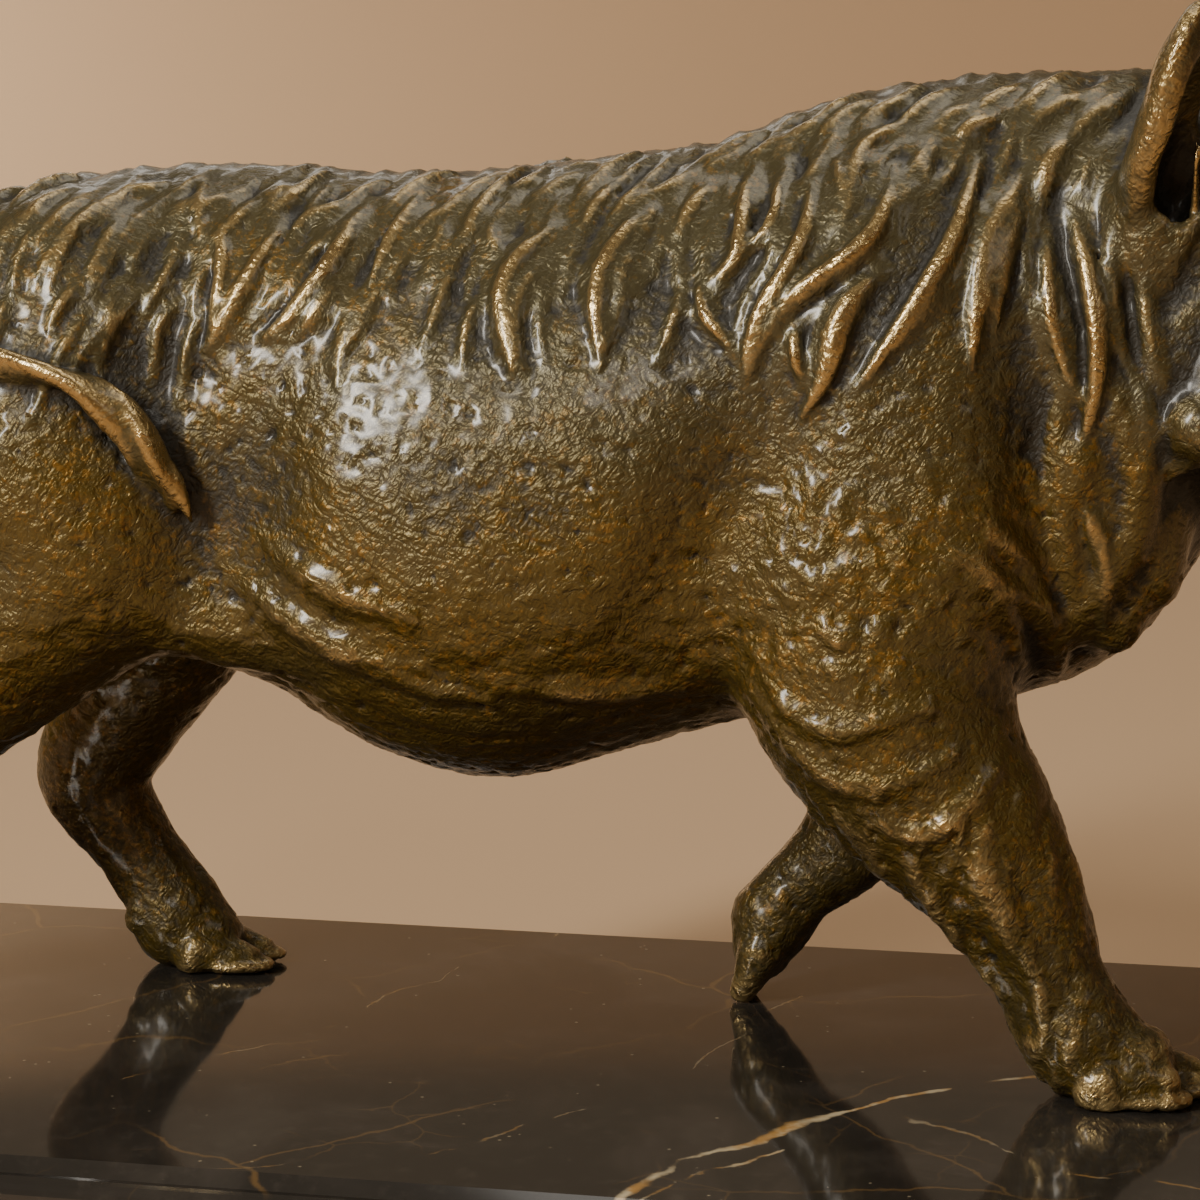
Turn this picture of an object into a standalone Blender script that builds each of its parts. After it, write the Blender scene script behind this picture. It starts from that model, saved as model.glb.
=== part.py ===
"""A bronze warthog walking on a polished marble plinth.

Two solids: the cast figure, in one piece, and the plinth that it stands on. Metres, +Z up, +X towards
the head, the origin at the centre of the plinth's underside.

The figure is modelled as clay: each mass of the body is a rounded shape in a field of distances, and
the shapes are pressed together with a soft seam. Its points are written in modelling units, of which
the height at the shoulders holds FIGURE_UNITS, so the whole animal follows SHOULDER_HEIGHT.
"""

import math
import random

import bmesh
import bpy
import numpy as np
import openvdb
from mathutils import Euler

# Driving sizes, in metres
SHOULDER_HEIGHT = 0.125  # plinth top to the crest of the mane over the shoulders
PLINTH_HEIGHT = 0.022
REAR_MARGIN = 0.014  # plinth past the trailing hind leg
FRONT_MARGIN = 0.0135  # plinth past the snout
NEAR_MARGIN = 0.034  # plinth past the widest point of the near side
FAR_MARGIN = 0.017  # plinth past the widest point of the far side
EDGE_CHAMFER_OUT = 0.0022  # flat chamfer round the top, across and down
EDGE_CHAMFER_DOWN = 0.0014
EDGE_ROUND = 0.0024  # quarter round under the chamfer
FOOT_CHAMFER = 0.0008  # small arris round the underside
SEAT_GAP = 0.0003  # between the hooves and the plinth

# The figure's own scale and fineness
FIGURE_UNITS = 125.0
UNIT = SHOULDER_HEIGHT / FIGURE_UNITS
CLAY_STEP = 1.3  # spacing of the field, in units
FIGURE_TRIANGLES = 9300
SIDES = (-1, 1)  # near flank, far flank
CORNERS = ((-1, -1), (1, -1), (1, 1), (-1, 1))
ROUND_STEPS = 6

# Trunk stations from rump to throat: x, top, underline, half width
TRUNK = (
    (-98, 105.0, 68.0, 14.0),
    (-86, 110.5, 58.0, 20.5),
    (-70, 113.3, 50.6, 22.5),
    (-54, 113.2, 43.6, 25.0),
    (-40, 112.6, 36.4, 28.3),
    (-26, 113.2, 33.6, 30.0),
    (-10, 115.0, 37.6, 29.6),
    (6, 117.0, 42.6, 27.6),
    (20, 120.4, 44.4, 25.6),
    (34, 122.6, 46.0, 24.4),
    (46, 124.2, 51.0, 22.0),
    (58, 125.0, 59.0, 19.0),
    (68, 119.0, 71.0, 15.0),
)
TRUNK_TOP_TAPER = 0.16  # how much narrower the section is at the spine than at the underline

# Masses on the trunk: centre, radii, tilt about Y in degrees, blend, and which side (0 is both)
MASSES = (
    ("rump", (-90, 0, 84), (21, 19, 24), 12, 8, 0),
    ("hip", (-84, 11, 88), (20, 11, 19), 20, 8, 0),
    ("near_haunch", (-85, -13, 74), (22, 13, 27), 18, 7, -1),
    ("far_haunch", (-80, 13, 73), (20, 13, 27), -8, 7, 1),
    ("near_shoulder", (29, -16, 68), (18, 12, 26), 16, 6, -1),
    ("far_shoulder", (22, 16, 70), (17, 11, 26), -6, 6, 1),
    ("shoulder_blade", (22, 13, 92), (17, 11, 22), 22, 9, 0),
    ("near_elbow", (23, -17, 48), (13, 10, 10), 30, 6, -1),
    ("brisket", (38, 0, 62), (15, 15, 14), 20, 7, 0),
    ("throat", (50, 0, 74), (12, 12, 17), -20, 6, 0),
    ("breast", (47, 0, 63.5), (11, 14, 12), 0, 6, 0),
    ("jowl", (52.5, 12, 68), (6, 5, 14), -10, 3, 0),
    ("dewlap", (58, 11.5, 73), (4.6, 5, 13), -8, 2.6, 0),
    ("withers", (32, 0, 109), (30, 12, 14.5), -6, 7, 0),
    ("near_flank_fold", (-64, -16, 57), (14, 7, 6), 14, 6, -1),
    ("far_flank_fold", (-58, 15, 56), (14, 7, 6), 14, 6, 1),
)

# Limbs from trunk to toe: points along the bone and radii, flattened across by LIMB_FLAT
LIMBS = {
    "near_fore": (
        ((24, -16, 62), 15.0),
        ((26.5, -17, 48), 15.2),
        ((32, -17.5, 39), 13.2),
        ((39, -18, 30), 10.4),
        ((44, -18.5, 22.4), 8.0),
        ((47.4, -19, 15), 6.5),
        ((50.5, -19, 9.5), 6.8),
    ),
    "far_fore": (
        ((24, 16, 60), 14.0),
        ((26, 16, 42), 11.0),
        ((22, 15.5, 31), 8.0),
        ((18.5, 15, 23), 6.8),
        ((12, 15, 16.6), 5.4),
        ((7.4, 15, 11.6), 5.0),
    ),
    "near_hind": (
        ((-84, -14, 74), 19.0),
        ((-80, -15, 64), 16.0),
        ((-97, -15.5, 46), 11.5),
        ((-112, -16, 32), 8.4),
        ((-117, -16, 20), 6.4),
        ((-120, -16, 9.5), 6.5),
    ),
    "far_hind": (
        ((-82, 14, 72), 16.0),
        ((-76, 15, 54), 12.0),
        ((-84, 15.5, 39), 9.6),
        ((-90, 16, 27.5), 7.8),
        ((-84, 16, 17), 6.0),
        ((-78.0, 16, 8.5), 6.4),
    ),
}
LIMB_FLAT = 0.82
LIMB_BLEND = 5.0

# Hooves: fetlock, toe, half width of one claw, and how far the outer claw stands back
HOOVES = {
    "near_fore": ((52, -19, 6.0), (66.5, -19.5, 1.6), 4.2, 0.34),
    "far_fore": ((8.2, 15, 11.0), (4.2, 15, 1.6), 3.4, 0.0),
    "near_hind": ((-119, -16, 6.0), (-107, -16, 1.6), 4.0, 0.0),
    "far_hind": ((-78, 16, 5.5), (-66.5, 16.5, 1.6), 4.0, 0.0),
}

STEEPEST_FOOT = -0.8  # a foot that points down more than this stands on its toe

# The head's own frame: origin in the skull, x along the nose
HEAD_ORIGIN = (68, 0, 101)
HEAD_PITCH = 24.0
HEAD_YAW = -9.0
HEAD_SCALE = 1.12
HEAD_MASSES = (
    ("skull", (-2, 0, 2), (19, 15.5, 16.5), 0, 7),
    ("forehead", (12, 0, 8), (17, 11, 8), 8, 6),
    ("brow", (9, 9.5, 11.5), (9, 5, 4.6), -8, 3),
    ("cheek", (2, 10, -10), (13.5, 9, 14), 12, 2.5),
    ("bridge", (26, 0, 1.5), (28, 9.5, 8.6), 5, 6),
    ("muzzle", (38, 0, -4.5), (20, 11, 9), 2, 6),
    ("lower_jaw", (26, 0, -14), (25, 8.5, 6.6), -6, 4),
    ("jaw_angle", (12, 6.5, -13), (15, 7.5, 9), -4, 5),
    ("lip", (45, 9.5, -7), (9, 5, 5), 0, 3),
    ("snout_rim", (56.5, 0, -5), (4.2, 12, 9.6), 8, 2),
    ("eye_wart", (13, 16.5, -2.5), (5.4, 7.6, 4.6), -10, 1.6),
    ("nose_wart", (33, 12.5, 2.5), (4.4, 5, 3.6), 0, 1.4),
    ("jaw_wart", (6, 17, -15), (5, 4, 4), 0, 2),
    ("eye_socket", (12, 11.8, 7.5), (5, 3.4, 3.6), 0, 2),
    ("eye", (12.6, 14.0, 7.6), (2.3, 1.8, 1.8), 0, 0.5),
)
EAR = {"root": (-7, 13.5, 1.2), "tip": (-15.8, 20.5, 22.6), "width": 6.8, "thick": 3.0, "hollow": 4.2}
EAR_BOSS = (5.5, 5.5, 6)
UPPER_TUSK = (
    ((45, 12, -7), 2.9),
    ((46, 18.5, -8.5), 2.8),
    ((46.5, 24, -5), 2.4),
    ((45.5, 26, 2), 1.9),
    ((43, 24.5, 8.5), 1.3),
    ((40, 21.5, 12), 0.9),
)
LOWER_TUSK = (((40, 11, -10), 2.0), ((41, 16, -8), 1.6), ((41, 18, -3), 1.2), ((40, 17.5, 1), 0.9))
NOSTRIL = ((62, 4.6, -4.6), (3.4, 2.4, 2.0))
MOUTH = (((58, 9, -13), 1.0), ((46, 12, -13.5), 1.1), ((32, 11, -13), 1.0), ((20, 14, -10), 0.8))

# Tail: over the rump and forward along the near haunch, with a tuft at its end
TAIL = (
    ((-99, 0, 99), 3.8),
    ((-107, -4, 99), 2.4),
    ((-107.5, -13, 96.5), 1.9),
    ((-101, -21.5, 92.8), 1.7),
    ((-92, -26, 90.4), 1.7),
    ((-82, -27.8, 88.6), 1.8),
    ((-74, -27.4, 86.6), 2.2),
    ((-68.5, -26.4, 82), 2.8),
    ((-64.6, -25, 76), 2.6),
    ((-63.0, -23.6, 71.0), 1.1),
)

# Hollows pressed between the muscles of both flanks: centre, radii, tilt, softness
HOLLOWS = (
    ("flank", (-57, 33, 72), (8, 9, 24), 14, 10),
    ("behind_shoulder", (6, 35, 68), (5, 9, 22), 24, 9),
    ("before_shoulder", (46, 28, 74), (4, 8, 20), -6, 7),
    ("under_haunch", (-66, 30, 88), (6, 7, 12), 30, 8),
)
THINNEST = 0.9  # least radius of a rod, which the field still holds

# Locks of the mane on the near flank: root x and z, tip x and z, bow forwards, hook of the tip, width
LOCKS = (
    (-82, 110, -86, 104, 0, 0, 2.8),
    (-73, 112, -77, 105, 1, 0, 2.8),
    (-64, 112, -60, 102, -0.5, 0, 2.6),
    (-60.5, 108, -59.5, 91, 2, 0, 2.8),
    (-51, 107, -60, 90, 0.8, 0, 3.2),
    (-41, 109, -52, 92, 2.2, 0, 3.6),
    (-33, 111, -38.5, 98, -0.5, 0, 2.8),
    (-22, 113, -27, 102, -1, 0, 2.8),
    (-13, 107, -18, 88, -5, 0.5, 3.4),
    (-8, 112, -12, 104, -0.5, 0, 2.6),
    (-2, 110, -7.5, 90, -3.6, 0, 3.2),
    (5, 112, 0, 103, -1, 0, 2.8),
    (9, 114, 3, 99, 3, 1, 3.2),
    (4, 101, 9, 91, -1, 0.5, 2.6),
    (17, 112, 10, 88, 0.5, -1, 3.2),
    (27, 114, 11, 89, 0.8, -2, 3.4),
    (29, 119, 22, 109, -3, 0, 2.8),
    (26, 100, 17, 84, -0.5, 0.8, 4.2),
    (35, 115, 26, 98, 1.2, 0, 2.8),
    (32.5, 100, 24, 88, 0.3, 0, 3.8),
    (33.5, 115.5, 40, 119.5, 1.4, 0, 2.8),
    (44, 115, 37, 91, -2.6, 0, 3.8),
    (43.5, 112, 39.5, 93, -1.2, 0, 2.8),
    (48, 118, 44, 108, -1, 0, 3.0),
    (47.5, 111, 49.5, 79, 3, 0.5, 3.4),
    (45, 108, 51, 84, -1.6, 0, 2.6),
    (51, 119, 56, 88, -0.6, -0.5, 2.8),
    (56, 110, 64, 77, -2, 0, 2.8),
    (56, 90, 58.5, 77, 0.3, 0, 3.0),
    (50, 76, 53, 58, 1.2, 0, 3.0),
)
CREST_TUFTS = 19  # short tufts down each side of the spine
CREST_REACH = (-88, 58)
CREST_DROP = 8.5
ABOVE_ALL = 1000  # a height over everything, to ask for the top of the back

# Folds of skin, laid like the locks but lower, and the flanks they are on (0 is both)
FOLDS = (
    ((51, 93, 47, 56, 8, 0, 6.0), 0),
    ((9, 57, 36, 50, -7.5, 0, 3.4), -1),
    ((9, 53, 38, 43, -8, 0, 3.8), -1),
    ((22, 38, 41, 43, -7, 0, 3.0), -1),
    ((37, 33, 48, 9, 1.5, 0, 3.2), -1),
    ((41, 64, 47, 51, 2.5, 0, 4.0), -1),
    ((-56, 63, -30, 52, -2, 0, 4.6), 0),
    ((-52, 68, -30, 59, -1.5, 0, 3.4), 0),
    ((-45, 56, -22, 48, -1, 0, 3.0), 0),
)
FOLD_SINK = 0.55  # how deep a fold lies, as a share of its radius
LOCK_SINK = 0.05
CURL = (-13, 3.4, 1.3)  # whorl beside the spine: x, radius, thickness


class Clay:
    """A block of distances, in units, negative inside the clay."""

    def __init__(self, low, high, step):
        self.low, self.step = np.array(low, float), step
        counts = np.ceil((np.array(high) - self.low) / step).astype(int) + 1
        self.field = np.full(counts, 50.0, np.float32)

    def _window(self, low, high, reach):
        """The part of the block within reach of a box, as slices and as points."""
        first = np.floor((np.array(low) - reach - self.low) / self.step).astype(int)
        last = np.ceil((np.array(high) + reach - self.low) / self.step).astype(int) + 1
        first, last = np.maximum(first, 0), np.minimum(last, self.field.shape)
        slices = tuple(slice(a, b) for a, b in zip(first, last))
        axes = [self.low[i] + self.step * np.arange(first[i], last[i]) for i in range(3)]
        return slices, np.meshgrid(*axes, indexing="ij", sparse=True)

    def press_on(self, shape, blend):
        """Adds a shape with a soft seam as wide as blend."""
        distance, low, high = shape
        slices, points = self._window(low, high, blend + 3 * self.step)
        old, new = self.field[slices], distance(*points)
        share = np.clip(0.5 + 0.5 * (old - new) / blend, 0, 1)
        self.field[slices] = old + (new - old) * share - blend * share * (1 - share)

    def cut_out(self, shape, blend):
        """Takes a shape away, with an edge as soft as blend."""
        distance, low, high = shape
        slices, points = self._window(low, high, blend + 3 * self.step)
        old, new = self.field[slices], -distance(*points)
        share = np.clip(0.5 - 0.5 * (old - new) / blend, 0, 1)
        self.field[slices] = old + (new - old) * share + blend * share * (1 - share)

    def flatten_below(self, height):
        """Cuts the clay off level at this height."""
        heights = self.low[2] + self.step * np.arange(self.field.shape[2])
        self.field = np.maximum(self.field, (height - heights)[None, None, :]).astype(np.float32)

    def flank(self, side):
        """How far out the surface stands on one side, over x and z, with nan where there is none."""
        field = self.field[:, :: -side, :]
        inside = field < 0
        first = np.maximum(np.argmax(inside, axis=1), 1)[:, None, :]
        here, before = (np.take_along_axis(field, first - back, axis=1)[:, 0] for back in (0, 1))
        steps = first[:, 0] - np.clip(here / (here - before - 1e-6), 0, 1)
        reach = self.step * steps
        outer = self.low[1] + reach if side < 0 else self.low[1] + self.step * (field.shape[1] - 1) - reach
        return np.where(inside.any(axis=1), outer, np.nan)

    def skin(self):
        """The surface of the clay as points and polygons."""
        grid = openvdb.FloatGrid(3.0 * self.step)
        grid.copyFromArray(np.clip(self.field, -3 * self.step, 3 * self.step))
        points, triangles, quads = grid.convertToPolygons(isovalue=0.0, adaptivity=0.0)
        return points * self.step + self.low, [*triangles.tolist(), *quads.tolist()]


def ellipsoid(centre, radii, tilt=0.0, turn=None):
    """An ellipsoid turned about Y by tilt degrees, or by a matrix."""
    turn = np.array(turn if turn is not None else Euler((0, math.radians(tilt), 0)).to_matrix())
    radii = np.array(radii, float)

    def distance(x, y, z):
        away = [x - centre[0], y - centre[1], z - centre[2]]
        local = [sum(turn[j][i] * away[j] for j in range(3)) for i in range(3)]
        near = sum((local[i] / radii[i]) ** 2 for i in range(3)) ** 0.5
        slope = sum((local[i] / radii[i] ** 2) ** 2 for i in range(3)) ** 0.5
        return near * (near - 1) / np.maximum(slope, 1e-6)

    reach = np.sqrt((np.array(turn) ** 2) @ radii**2)
    return distance, np.array(centre) - reach, np.array(centre) + reach


def capsule(start, end, start_radius, end_radius, flat=1.0):
    """A rod with round ends whose radius changes along it, flattened along Y."""
    start, end = np.array(start, float), np.array(end, float)
    scale = np.array((1, 1 / flat, 1))
    rod = (end - start) * scale
    length = max(float(rod @ rod), 1e-9)

    def distance(x, y, z):
        away = [(x - start[0]), (y - start[1]) / flat, (z - start[2])]
        along = np.clip(sum(away[i] * rod[i] for i in range(3)) / length, 0, 1)
        gap = sum((away[i] - along * rod[i]) ** 2 for i in range(3)) ** 0.5
        return (gap - start_radius - (end_radius - start_radius) * along) * (0.5 + 0.5 * flat)

    widest = max(start_radius, end_radius)
    return distance, np.minimum(start, end) - widest, np.maximum(start, end) + widest


def trunk_shape():
    """The barrel of the body, lofted through its stations."""
    stations = np.array(TRUNK, float)
    places = stations[:, 0]

    def curve(x, column):
        """A smooth curve through one column of the stations."""
        values = stations[:, column]
        slopes = np.gradient(values, places)
        x = np.clip(x, places[0], places[-1])
        i = np.clip(np.searchsorted(places, x, side="right") - 1, 0, len(places) - 2)
        gap = places[i + 1] - places[i]
        t = (x - places[i]) / gap
        rise = values[i] * (1 + 2 * t) * (1 - t) ** 2 + values[i + 1] * t * t * (3 - 2 * t)
        return rise + gap * (slopes[i] * t * (1 - t) ** 2 - slopes[i + 1] * t * t * (1 - t))

    def distance(x, y, z):
        top, under, half = (curve(x, column) for column in (1, 2, 3))
        middle, tall = (top + under) / 2, (top - under) / 2
        up = (z - middle) / tall
        wide = half * (1 - TRUNK_TOP_TAPER * np.clip(up, -1, 1))
        near = ((y / wide) ** 2 + up**2) ** 0.5
        slope = ((y / wide**2) ** 2 + (up / tall) ** 2) ** 0.5
        across = near * (near - 1) / np.maximum(slope, 1e-6)
        beyond = np.maximum(places[0] - x, x - places[-1])
        outside = np.hypot(np.maximum(across, 0), np.maximum(beyond, 0))
        return np.where(beyond > 0, np.where(across > 0, outside, np.maximum(beyond, across)), across)

    widest = stations[:, 3].max() * (1 + TRUNK_TOP_TAPER)
    low = (places[0], -widest, stations[:, 2].min())
    high = (places[-1], widest, stations[:, 1].max())
    return distance, np.array(low), np.array(high)


def smooth_path(points, steps):
    """Points on a Catmull-Rom curve, with any radii riding along as further columns."""
    rows = np.array(points, float)
    rows = np.vstack((2 * rows[0] - rows[1], rows, 2 * rows[-1] - rows[-2]))
    made = []
    for a, b, c, d in zip(rows, rows[1:], rows[2:], rows[3:]):
        for t in np.arange(steps) / steps:
            made.append(
                0.5 * (2 * b + (c - a) * t + (2 * a - 5 * b + 4 * c - d) * t**2 + (3 * b - a - 3 * c + d) * t**3)
            )
    return np.array([*made, rows[-2]])


def chain(stops, steps=3, flat=1.0, place=None):
    """A bent rod through stops, each a point and a radius. place moves its points."""
    rows = smooth_path([(*point, radius) for point, radius in stops], steps)
    points = rows[:, :3] if place is None else np.array([place(p) for p in rows[:, :3]])
    radii = np.maximum(rows[:, 3], THINNEST)
    links = [
        capsule(points[i], points[i + 1], radii[i], radii[i + 1], flat) for i in range(len(points) - 1)
    ]

    def distance(x, y, z):
        nearest = links[0][0](x, y, z)
        for link in links[1:]:
            nearest = np.minimum(nearest, link[0](x, y, z))
        return nearest

    return distance, np.min([link[1] for link in links], 0), np.max([link[2] for link in links], 0)


def head_place(point):
    """A point of the head's own frame, in the figure's units."""
    turn = Euler((0, math.radians(HEAD_PITCH), math.radians(HEAD_YAW))).to_matrix()
    return np.array(turn) @ np.array(point, float) * HEAD_SCALE + np.array(HEAD_ORIGIN, float)


def head_turn(tilt=0.0, roll=0.0):
    """The turn of the head, with a further tilt or roll of one of its masses."""
    head = Euler((0, math.radians(HEAD_PITCH), math.radians(HEAD_YAW))).to_matrix()
    return np.array(head @ Euler((math.radians(roll), math.radians(tilt), 0)).to_matrix())


def mirrored(point, side):
    return (point[0], point[1] * side, point[2])


def head_shape(centre, radii, side=1, tilt=0.0, roll=0.0):
    """An ellipsoid written in the head's frame."""
    size = np.array(radii, float) * HEAD_SCALE
    return ellipsoid(head_place(mirrored(centre, side)), size, turn=head_turn(tilt, roll))


def head_rod(stops, side):
    """A bent rod written in the head's frame."""
    return chain([(mirrored(point, side), radius * HEAD_SCALE) for point, radius in stops], place=head_place)


def press_head(clay):
    for _, centre, radii, tilt, blend in HEAD_MASSES:
        for side in SIDES if centre[1] else (1,):
            clay.press_on(head_shape(centre, radii, side, tilt), blend)
    for side in SIDES:
        clay.press_on(head_rod(UPPER_TUSK, side), 0.8)
        clay.press_on(head_rod(LOWER_TUSK, side), 0.8)
        press_ear(clay, side)
        clay.cut_out(head_shape(*NOSTRIL, side), 0.8)
        clay.cut_out(head_rod(MOUTH, side), 0.8)


def press_ear(clay, side):
    """A leaf of clay with its hollow turned forwards and outwards."""
    root, tip = (np.array(EAR[end], float) for end in ("root", "tip"))
    middle, length = (root + tip) / 2, np.linalg.norm(tip - root) / 2
    lean = -side * math.degrees(math.atan2(tip[1] - root[1], tip[2] - root[2]))
    leaf = (EAR["thick"], EAR["width"], length + 2.5)
    clay.press_on(head_shape(middle, leaf, side, -6, lean), 2.0)
    clay.press_on(head_shape(root, EAR_BOSS, side), 3.0)
    hollow = middle + np.array((EAR["hollow"] * 0.8, 1.2, 0.5))
    clay.cut_out(head_shape(hollow, (EAR["hollow"], EAR["width"] * 0.7, length * 0.84), side, -6, lean), 1.0)


def press_hoof(clay, fetlock, toe, half, stagger):
    """The pastern, two flat claws under its edge, and two dewclaws behind."""
    fetlock, toe = np.array(fetlock, float), np.array(toe, float)
    ahead = (toe - fetlock) / np.linalg.norm(toe - fetlock)
    clay.press_on(capsule(fetlock, fetlock * 0.58 + toe * 0.42, half * 1.45, half * 1.2), 2.5)
    outer = -1 if fetlock[1] < 0 else 1
    for side in SIDES:
        across = np.array((0, side * half * 0.74, 0))
        back = stagger if side == outer else 0.0
        heel = fetlock * (0.62 + back * 0.5) + toe * (0.38 - back * 0.5) + across
        heel[2] = min(heel[2], half * 0.62) if ahead[2] > STEEPEST_FOOT else heel[2]
        tip = toe + across * 0.9 - (toe - fetlock) * back
        clay.press_on(capsule(heel, tip, half * 1.04, half * 0.5), 0.6)
        dewclaw = fetlock - ahead * half * 1.1 + np.array((0, side * half * 0.95, half * 0.2))
        clay.press_on(ellipsoid(dewclaw, (half * 0.5, half * 0.42, half * 0.66), 20), 0.9)


class Flank:
    """The surface of one side of the body, on which locks and folds are laid."""

    def __init__(self, clay, side):
        self.clay, self.side, self.depth = clay, side, clay.flank(side)

    def point(self, x, z):
        """The point of the surface at x and z, or at the highest z there is below it."""
        column = int(round((x - self.clay.low[0]) / self.clay.step))
        there = np.flatnonzero(~np.isnan(self.depth[column]))
        z = min(z, self.clay.low[2] + self.clay.step * (there[-1] - 0.4))
        row = int(np.clip((z - self.clay.low[2]) / self.clay.step, there[0], there[-1] - 1))
        share = (z - self.clay.low[2]) / self.clay.step - row
        ends = self.depth[column, row], self.depth[column, row + 1]
        out = ends[0] if np.isnan(ends[1]) else ends[0] + (ends[1] - ends[0]) * np.clip(share, 0, 1)
        return np.array((x, out, z))

    def strand(self, lock, sink, stops=7):
        """A tapered rod on the surface from root to tip, bowed and hooked."""
        root_x, root_z, tip_x, tip_z, bow, hook, width = lock
        root, along = np.array((root_x, root_z)), np.array((tip_x - root_x, tip_z - root_z), float)
        across = np.array((-along[1], along[0])) / np.linalg.norm(along)
        made = []
        for t in np.linspace(0, 1, stops):
            spot = root + along * t + across * (bow * math.sin(math.pi * t) - hook * math.sin(2 * math.pi * t))
            radius = width / 2 * (0.55 + 0.75 * math.sin(math.pi * t**0.8) - 0.3 * t)
            point = self.point(*spot)
            point[1] -= self.side * radius * sink
            made.append((point, radius))
        return chain(made, steps=2)


def crest_tufts(chance):
    """Short tufts from the spine down one flank, all along the crest."""
    for i in range(CREST_TUFTS):
        x = CREST_REACH[0] + (CREST_REACH[1] - CREST_REACH[0]) * (i + chance.uniform(0.2, 0.8)) / CREST_TUFTS
        drop = CREST_DROP * chance.uniform(0.7, 1.3)
        yield x, ABOVE_ALL, x - drop * chance.uniform(0.3, 0.9), drop, chance.uniform(-1.5, 1.5), 0, 2.8


def varied(lock, chance):
    """A lock of the far flank: the near one, moved and stretched a little."""
    root_x, root_z, tip_x, tip_z, bow, hook, width = lock
    shift, longer = chance.uniform(-3, 3), chance.uniform(-3, 3)
    return root_x + shift, root_z, tip_x + shift + chance.uniform(-2, 2), tip_z + longer, bow, -hook, width


def press_hair(clay):
    """The locks, tufts and folds of both flanks, laid on the finished body."""
    flanks = {side: Flank(clay, side) for side in SIDES}
    for side, flank in flanks.items():
        chance = random.Random(40 + side)
        for lock in LOCKS:
            clay.press_on(flank.strand(lock if side < 0 else varied(lock, chance), LOCK_SINK), 0.8)
        for fold in (fold for fold, where in FOLDS if where in (0, side)):
            clay.press_on(flank.strand(fold, FOLD_SINK), 1.6)
        for x, root, tip_x, drop, bow, hook, width in crest_tufts(chance):
            top = flank.point(x, root)[2]
            clay.press_on(flank.strand((x, top, tip_x, top - drop, bow, hook, width), LOCK_SINK), 0.8)
    press_curl(clay, flanks[-1])


def press_curl(clay, flank):
    """The small whorl of hair beside the spine."""
    x, radius, thickness = CURL
    top = flank.point(x, ABOVE_ALL)[2] - radius
    turns = np.linspace(0, 1.75 * math.pi, 9)
    spots = [(x + radius * math.cos(a), top + radius * 0.7 * math.sin(a)) for a in turns]
    clay.press_on(chain([(flank.point(*spot), thickness) for spot in spots], steps=1), 0.6)


def press_body(clay):
    clay.press_on(trunk_shape(), 1.0)
    for _, centre, radii, tilt, blend, side in MASSES:
        for way in (side,) if side or not centre[1] else SIDES:
            place = centre if side or not centre[1] else mirrored(centre, way)
            clay.press_on(ellipsoid(place, radii, tilt), blend)
    for _, centre, radii, tilt, blend in HOLLOWS:
        for side in SIDES:
            clay.cut_out(ellipsoid(mirrored(centre, side), radii, tilt), blend)
    for name, stops in LIMBS.items():
        clay.press_on(chain(stops, steps=6, flat=LIMB_FLAT), LIMB_BLEND)
        press_hoof(clay, *HOOVES[name])


def figure_clay():
    """The whole animal in clay, hooves cut level above the plinth."""
    clay = Clay((-134, -42, -2), (134, 42, 142), CLAY_STEP)
    press_body(clay)
    press_hair(clay)
    press_head(clay)
    clay.press_on(chain(TAIL), 1.4)
    clay.flatten_below(SEAT_GAP / UNIT)
    return clay


def clear_scene():
    for existing in list(bpy.data.objects):
        bpy.data.objects.remove(existing)


def make_material(name, colour, roughness, metallic):
    material = bpy.data.materials.new(name)
    material.use_nodes = True
    shader = material.node_tree.nodes["Principled BSDF"]
    shader.inputs["Base Color"].default_value = (*colour, 1)
    shader.inputs["Roughness"].default_value = roughness
    shader.inputs["Metallic"].default_value = metallic
    return material


def make_object(name, mesh, material):
    mesh.materials.append(material)
    made = bpy.data.objects.new(name, mesh)
    bpy.context.scene.collection.objects.link(made)
    return made


def drop_crumbs(form):
    """Removes any loose speck, and any bubble inside the clay, beside the one largest body."""
    unseen, bodies = set(form.verts), []
    while unseen:
        body, edge = set(), [unseen.pop()]
        while edge:
            corner = edge.pop()
            body.add(corner)
            found = {side.other_vert(corner) for side in corner.link_edges} & unseen
            unseen -= found
            edge.extend(found)
        bodies.append(body)
    largest = max(bodies, key=len)
    for body in bodies:
        if body is not largest:
            bmesh.ops.delete(form, geom=list(body), context="VERTS")


def make_warthog(material):
    """The cast figure with its hooves at the height of the plinth's top, and its own bounds."""
    points, polygons = figure_clay().skin()
    points = points * UNIT
    low, high = points.min(0), points.max(0)
    shift = (
        (REAR_MARGIN - FRONT_MARGIN - low[0] - high[0]) / 2,
        (NEAR_MARGIN - FAR_MARGIN - low[1] - high[1]) / 2,
        PLINTH_HEIGHT,
    )
    mesh = bpy.data.meshes.new("warthog")
    mesh.from_pydata((points + shift).tolist(), [], polygons)
    form = bmesh.new()
    form.from_mesh(mesh)
    drop_crumbs(form)
    bmesh.ops.recalc_face_normals(form, faces=form.faces)
    form.to_mesh(mesh)
    form.free()
    figure = make_object("warthog", mesh, material)
    thin = figure.modifiers.new("fewer_faces", "DECIMATE")
    thin.ratio = FIGURE_TRIANGLES / sum(len(corners) - 2 for corners in polygons)
    return figure, high - low


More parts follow.
